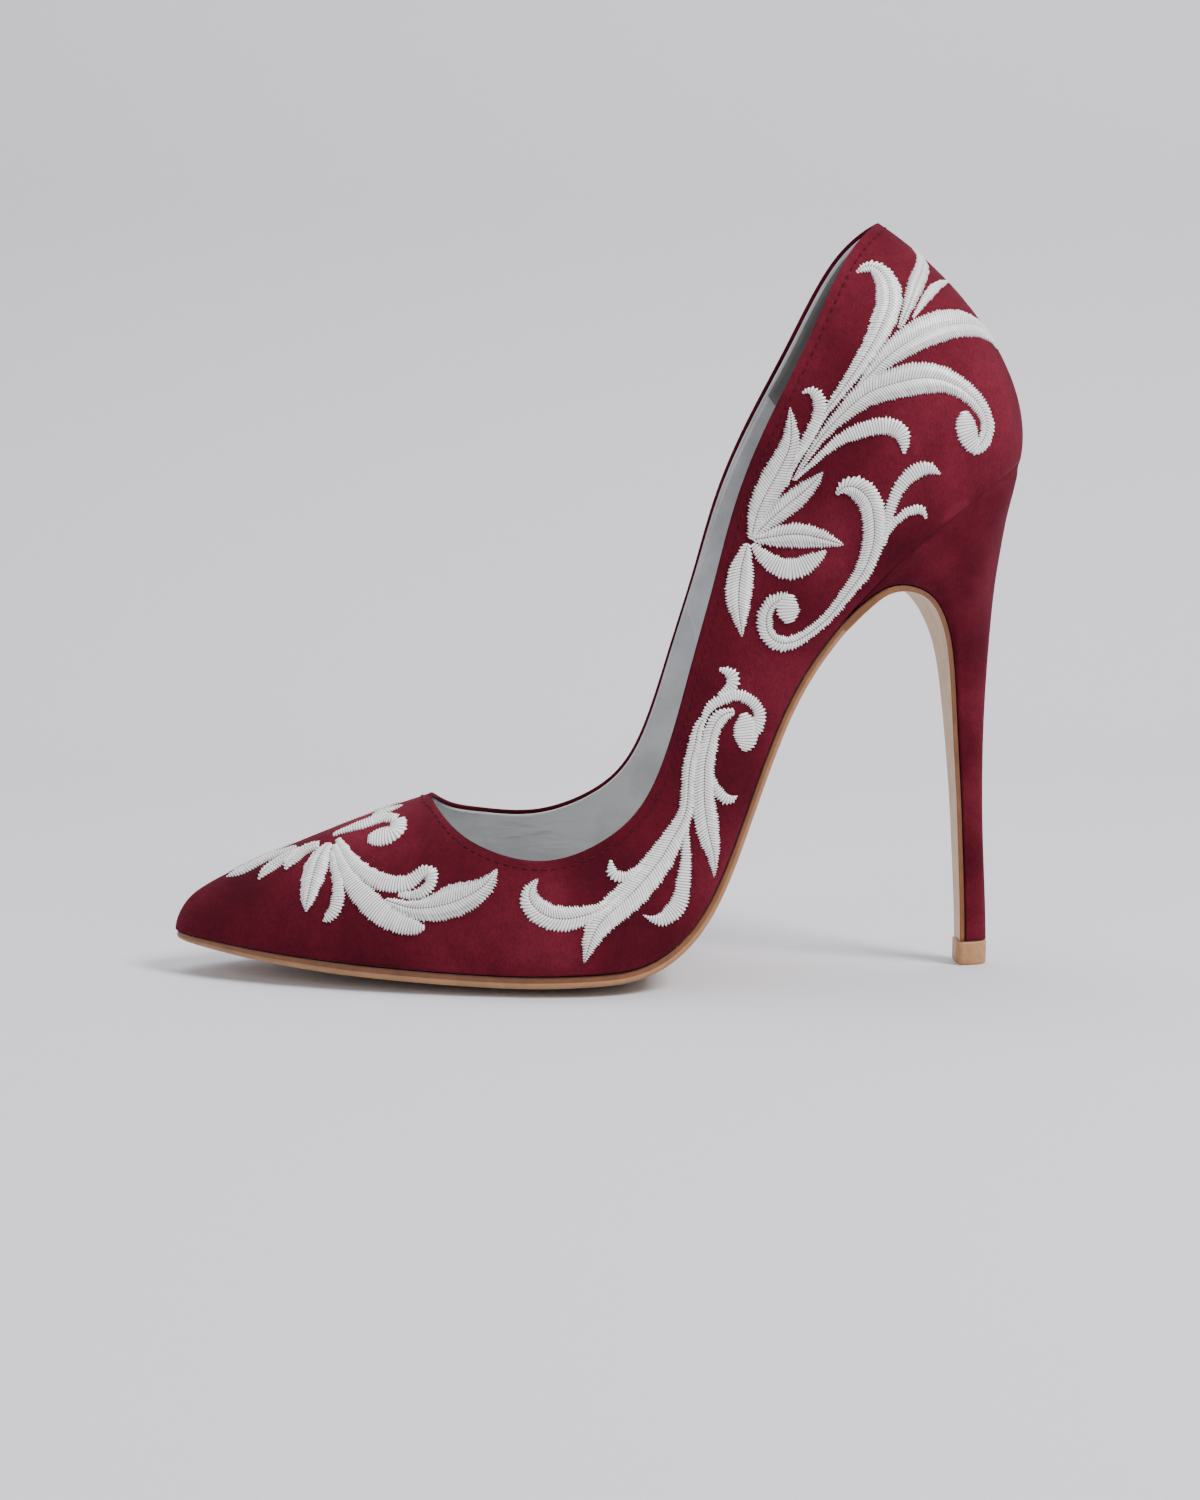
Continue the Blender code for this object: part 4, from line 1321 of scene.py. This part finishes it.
# %% Chart of the embroidery
BACK = (
    ("plume", LEAF, (856, 273, 0.3), (871, 267, 1.5), (885, 279, 2.6), (889, 301, 2.9),
     (882, 324, 2.6), (870, 348, 2.0), (854, 373, 1.5), (837, 397, 1.0), (823, 416, 0.7),
     (809, 442, 0.6), (793, 467, 0.6), (786, 487, 0.4)),
    ("plume hook", SATIN, (802, 393, 0.2), (812, 391, 0.9), (819, 400, 1.4), (819, 414, 1.4),
     (812, 430, 1.2), (801, 450, 0.8), (794, 463, 0.4)),
    ("top leaf", LEAF, (899, 329, 0.4), (909, 304, 1.3), (917, 282, 1.8), (922, 262, 1.3),
     (914, 246, 0.1)),
    ("top twig", SATIN, (913, 318, 0.3), (924, 301, 0.8), (936, 287, 0.9), (951, 280, 0.1)),
    ("great leaf", LEAF, (858, 388, 0.5, 0.5), (882, 362, 2.2, 2.0), (908, 342, 3.4, 3.0),
     (936, 329, 4.0, 3.3), (961, 324, 3.6, 3.2), (983, 331, 2.6, 2.6), (997, 349, 0.3, 0.3)),
    ("volute", LEAF, (793, 481, 0.3), (818, 442, 0.9), (843, 414, 1.8), (868, 393, 3.0),
     (896, 383, 3.5), (924, 378, 3.6), (950, 383, 3.0, 2.6), (971, 397, 2.5, 2.0),
     (984, 416, 2.3, 1.6), (985, 434, 2.2, 1.3), (978, 446, 1.8, 1.0), (971, 446, 1.0, 0.5)),
    ("volute ball", SATIN, (964, 411, 0.6), (965, 418, 2.0), (966, 427, 2.6), (969, 437, 2.5),
     (974, 446, 1.8), (979, 452, 0.5)),
    ("under hook", SATIN, (795, 480, 0.3), (818, 458, 0.7), (840, 440, 1.2), (866, 429, 1.7),
     (888, 426, 1.8), (902, 435, 1.7), (904, 454, 0.3)),
    ("tall petal", LEAF, (751, 540, 0.6), (758, 512, 2.2), (770, 487, 3.0), (784, 461, 2.9),
     (791, 439, 2.0), (790, 407, 0.1)),
    ("second petal", LEAF, (751, 540, 0.5), (770, 520, 1.8), (790, 503, 2.3), (809, 487, 1.7),
     (823, 472, 0.1)),
    ("right petal", LEAF, (753, 540, 0.5, 0.5), (776, 536, 2.0, 2.4), (798, 534, 2.3, 3.0),
     (821, 538, 1.8, 2.2), (844, 545, 0.1, 0.1)),
    ("fan", SATIN, (752, 544, 0.5), (759, 552, 1.2), (773, 564, 2.0), (793, 569, 2.3),
     (812, 561, 1.7), (826, 551, 0.3)),
    ("low petal", LEAF, (748, 543, 0.6), (742, 565, 2.4), (739, 588, 3.1), (739, 610, 2.2),
     (742, 637, 0.1)),
    ("scroll", LEAF, (836, 495, 0.3), (845, 487, 1.6), (859, 489, 2.6), (871, 504, 2.7),
     (874, 525, 2.5), (873, 543, 2.4), (864, 569, 2.0), (850, 589, 1.6), (834, 610, 1.3),
     (818, 626, 1.2), (799, 639, 1.4, 1.3), (781, 643, 1.8, 1.5), (768, 633, 1.9, 1.4),
     (767, 614, 2.0, 1.2), (776, 602, 1.8, 1.0), (788, 599, 1.5, 0.8)),
    ("scroll ball", SATIN, (789, 594, 0.8), (788, 603, 2.2), (788, 613, 2.4), (790, 623, 0.8)),
    ("branch", SATIN, (883, 546, 0.5), (886, 528, 1.0), (891, 507, 1.1), (899, 488, 1.3),
     (912, 474, 1.5), (927, 468, 1.3), (940, 474, 0.2)),
    ("twig", SATIN, (883, 542, 0.4), (892, 525, 0.8), (906, 513, 0.9), (920, 509, 0.9),
     (926, 519, 0.2)),
)
VAMP = (
    ("toe leaf", LEAF, (226, 877, 0.1), (238, 872, 1.6), (251, 866, 2.0), (265, 859, 1.9),
     (281, 853, 1.5), (296, 848, 1.0)),
    ("second leaf", LEAF, (258, 880, 0.1), (267, 870, 1.6), (278, 862, 1.9), (289, 856, 1.7),
     (300, 850, 1.2)),
    ("third leaf", LEAF, (285, 870, 0.1), (290, 862, 1.8), (297, 855, 2.2), (307, 849, 2.0),
     (319, 845, 1.4)),
    ("down leaf", LEAF, (331, 843, 0.8), (321, 855, 2.4), (315, 871, 3.0), (311, 886, 2.5),
     (308, 900, 1.6), (306, 912, 0.1)),
    ("thin leaf", SATIN, (332, 850, 0.5), (335, 866, 1.0), (338, 881, 1.2), (338, 897, 1.4),
     (335, 909, 1.5), (329, 917, 1.1), (323, 921, 0.2)),
    ("big sweep", SATIN, (334, 845, 0.6), (343, 866, 1.5), (353, 884, 2.1), (367, 900, 2.6),
     (381, 913, 2.7), (397, 922, 2.3), (413, 927, 1.8), (425, 928, 0.4)),
    ("long leaf", LEAF, (385, 900, 0.6, 0.6), (406, 907, 1.4, 2.0), (427, 908, 2.4, 3.0),
     (451, 903, 4.1, 3.4), (472, 894, 3.2, 3.2), (487, 883, 1.7, 2.2), (497, 869, 0.1, 0.1)),
    ("curl", SATIN, (338, 839, 0.6), (347, 855, 1.3), (359, 868, 1.7), (375, 879, 1.9),
     (392, 884, 2.0), (408, 883, 1.8), (419, 875, 1.6), (428, 871, 1.4), (432, 875, 1.0)),
    ("curl end", SATIN, (430, 870, 1.2), (432, 879, 1.3), (427, 889, 1.4), (415, 895, 1.1),
     (398, 894, 0.5)),
    ("ridge band", SATIN, (333, 835, 0.8), (349, 829, 1.4), (364, 824, 2.2), (378, 819, 2.2),
     (389, 818, 1.6), (397, 818, 1.2)),
    ("ridge ball", SATIN, (398, 819, 1.4), (398, 828, 2.0), (391, 834, 2.6), (379, 837, 2.8),
     (368, 839, 1.2)),
    ("ridge leaf", LEAF, (372, 816, 0.8), (387, 811, 1.6), (403, 805, 0.1)),
)
WAIST = (
    ("hook", SATIN, (719, 669, 0.3), (726, 671, 0.9), (732, 676, 1.4), (733, 682, 1.4),
     (729, 688, 1.1), (719, 696, 0.6)),
    ("volute", SATIN, (703, 721, 0.5), (710, 707, 1.0), (723, 699, 1.2), (736, 695, 1.2),
     (750, 700, 1.2), (759, 712, 1.3), (757, 726, 1.6), (750, 737, 1.0)),
    ("ball", SATIN, (743, 713, 0.8), (745, 722, 2.4), (746, 732, 3.0), (746, 742, 2.5),
     (744, 751, 0.6)),
    ("inner ribbon and right leaf", LEAF, (735, 712, 0.6), (725, 714, 1.4), (716, 722, 1.7),
     (711, 734, 1.8), (708, 748, 2.0), (705, 762, 2.2), (704, 779, 2.3), (704, 799, 2.5),
     (706, 819, 2.8), (709, 836, 2.5), (713, 856, 1.5), (714, 877, 0.1)),
    ("stem and lower leaf", LEAF, (704, 718, 0.7), (698, 729, 1.2), (695, 744, 1.4),
     (691, 759, 1.5), (689, 774, 1.5), (688, 789, 1.5), (687, 804, 1.5), (683, 819, 1.8),
     (674, 836, 2.3), (663, 855, 2.9), (649, 874, 3.3), (634, 891, 3.4), (618, 906, 3.3),
     (602, 921, 2.9), (591, 940, 1.9), (584, 963, 0.1)),
    ("crescent", LEAF, (632, 889, 0.5), (609, 906, 1.3), (587, 915, 2.0), (567, 919, 2.7),
     (547, 916, 2.8), (532, 904, 2.5), (530, 891, 1.6), (538, 879, 0.1)),
    ("small hook", SATIN, (611, 860, 0.3), (611, 869, 0.9), (616, 876, 1.1), (626, 877, 1.1),
     (635, 873, 1.0), (647, 865, 0.5)),
    ("lower branch", SATIN, (686, 821, 0.4), (686, 839, 0.8), (686, 856, 1.1), (684, 876, 1.5),
     (682, 891, 1.8), (678, 905, 2.1), (669, 915, 1.9), (657, 920, 1.0), (643, 915, 0.1)),
    ("right hook", SATIN, (711, 774, 0.5), (715, 786, 0.9), (720, 794, 1.1), (726, 799, 1.1),
     (732, 799, 0.8), (737, 796, 0.1)),
)
SPRAY = (
    ("spray leaf", LEAF, (696, 691, 0.1), (687, 711, 1.8), (682, 731, 2.1), (680, 751, 2.1),
     (678, 771, 1.7), (675, 786, 1.0)),
    ("spray hook", SATIN, (690, 735, 0.6), (694, 747, 0.9), (701, 753, 1.0), (708, 753, 0.8),
     (717, 748, 0.1)),
    ("spray right leaf", LEAF, (686, 760, 0.9), (689, 780, 2.2), (692, 800, 2.2), (695, 818, 1.3),
     (698, 831, 0.1)),
    ("spray stem", LEAF, (677, 769, 0.8), (672, 786, 1.5), (664, 806, 1.9), (652, 826, 2.3),
     (638, 844, 2.6), (622, 860, 2.6), (606, 873, 1.8), (590, 886, 0.1)),
    ("spray left hook", SATIN, (610, 846, 0.3), (610, 855, 0.9), (619, 860, 1.1), (632, 856, 0.9),
     (645, 847, 0.4)),
    ("spray branch", SATIN, (673, 786, 0.5), (675, 806, 0.8), (676, 829, 1.1), (674, 852, 1.5),
     (667, 868, 1.4), (655, 878, 0.1)),
)
print("charted leaves", len(BACK) + len(VAMP) + len(WAIST) + len(SPRAY))

# %% [markdown]
# The outer side is sewn as charted. For the inner side each point moves to the same row and
# share of the last. Mirroring the finished mesh would not do, because the two sides differ.

# %% Sew the leaves
def sew(name, chart, *sides):
    """One mesh of all leaves of a chart, on one side of the shoe or on both."""
    threads = Threads()
    chance = np.random.RandomState(len(name))
    for _, kind, *rows in chart:
        spine = [on_suede(row[0], row[1]) for row in rows]
        left, right = [row[2] for row in rows], [row[-1] for row in rows]
        if OUTER in sides:
            threads.add_leaf(kind, spine, left, right, chance)
        if INNER in sides:
            other = [across_shoe(point) for point in spine]
            threads.add_leaf(kind, other, right, left, chance)
    add_piece(name, threads.points, threads.faces, [silk], vertex_places=threads.places)


sew("embroidery_vamp", VAMP, OUTER, INNER)
sew("embroidery_outer_back", BACK, OUTER)
sew("embroidery_outer_waist", WAIST, OUTER)
sew("embroidery_inner_back", BACK, INNER)
sew("embroidery_inner_waist", SPRAY, INNER)

# %% [markdown]
# ## Floor and light
# A product photograph is lit by large soft boxes, so that suede shows its nap and no hard shadow
# falls. The floor curves up behind the shoe into a plain wall, as paper does in a studio.

# %% Studio
FLOOR_GREY = (0.66, 0.65, 0.695)
SWEEP_WIDTH = 3.0
FLOOR_NEAR, FLOOR_FAR = -1.8, 0.36
BEND_RADIUS = 0.22
BEND_STEPS = 24
WALL_TOP = 2.4
sweep_profile = [(FLOOR_NEAR, 0.0)]
for k in range(BEND_STEPS + 1):
    angle = pi / 2 * k / BEND_STEPS
    sweep_profile.append((FLOOR_FAR + BEND_RADIUS * sin(angle), BEND_RADIUS * (1 - cos(angle))))
sweep_profile.append((FLOOR_FAR + BEND_RADIUS, WALL_TOP))
sweep_points = [(x, y, z) for y, z in sweep_profile for x in (-SWEEP_WIDTH, SWEEP_WIDTH)]
sweep_faces = [(2 * k, 2 * k + 1, 2 * k + 3, 2 * k + 2) for k in range(len(sweep_points) // 2 - 1)]
sweep_mesh = bpy.data.meshes.new("paper_sweep")
sweep_mesh.from_pydata(sweep_points, [], sweep_faces)
sweep_mesh.materials.append(new_material("studio_paper", 0.9, FLOOR_GREY)[0])
sweep_mesh.shade_smooth()
sweep = bpy.data.objects.new("paper_sweep", sweep_mesh)
bpy.context.scene.collection.objects.link(sweep)


SHOE_MIDDLE = Vector((-0.09, 0.0, 0.08))
# name, place and size in metres, power in watts
for name, place, size, power in (("key_box", (0.62, -0.50, 1.00), (0.45, 0.45), 20.0),
                                 ("fill_box", (-0.95, -0.90, 0.70), (0.9, 0.9), 4.4),
                                 ("top_box", (-0.20, 0.30, 1.30), (1.0, 0.9), 12.0)):
    lamp = bpy.data.lights.new(name, "AREA")
    lamp.shape = "RECTANGLE"
    lamp.size, lamp.size_y = size
    lamp.energy = power
    box = bpy.data.objects.new(name, lamp)
    box.location = place
    box.rotation_euler = (SHOE_MIDDLE - Vector(place)).to_track_quat("-Z", "Y").to_euler()
    bpy.context.scene.collection.objects.link(box)
world = bpy.data.worlds.new("studio_air")
world.use_nodes = True
adjust(world.node_tree.nodes["Background"], {"Color": (0.93, 0.95, 1.0, 1.0), "Strength": 0.40})
bpy.context.scene.world = world
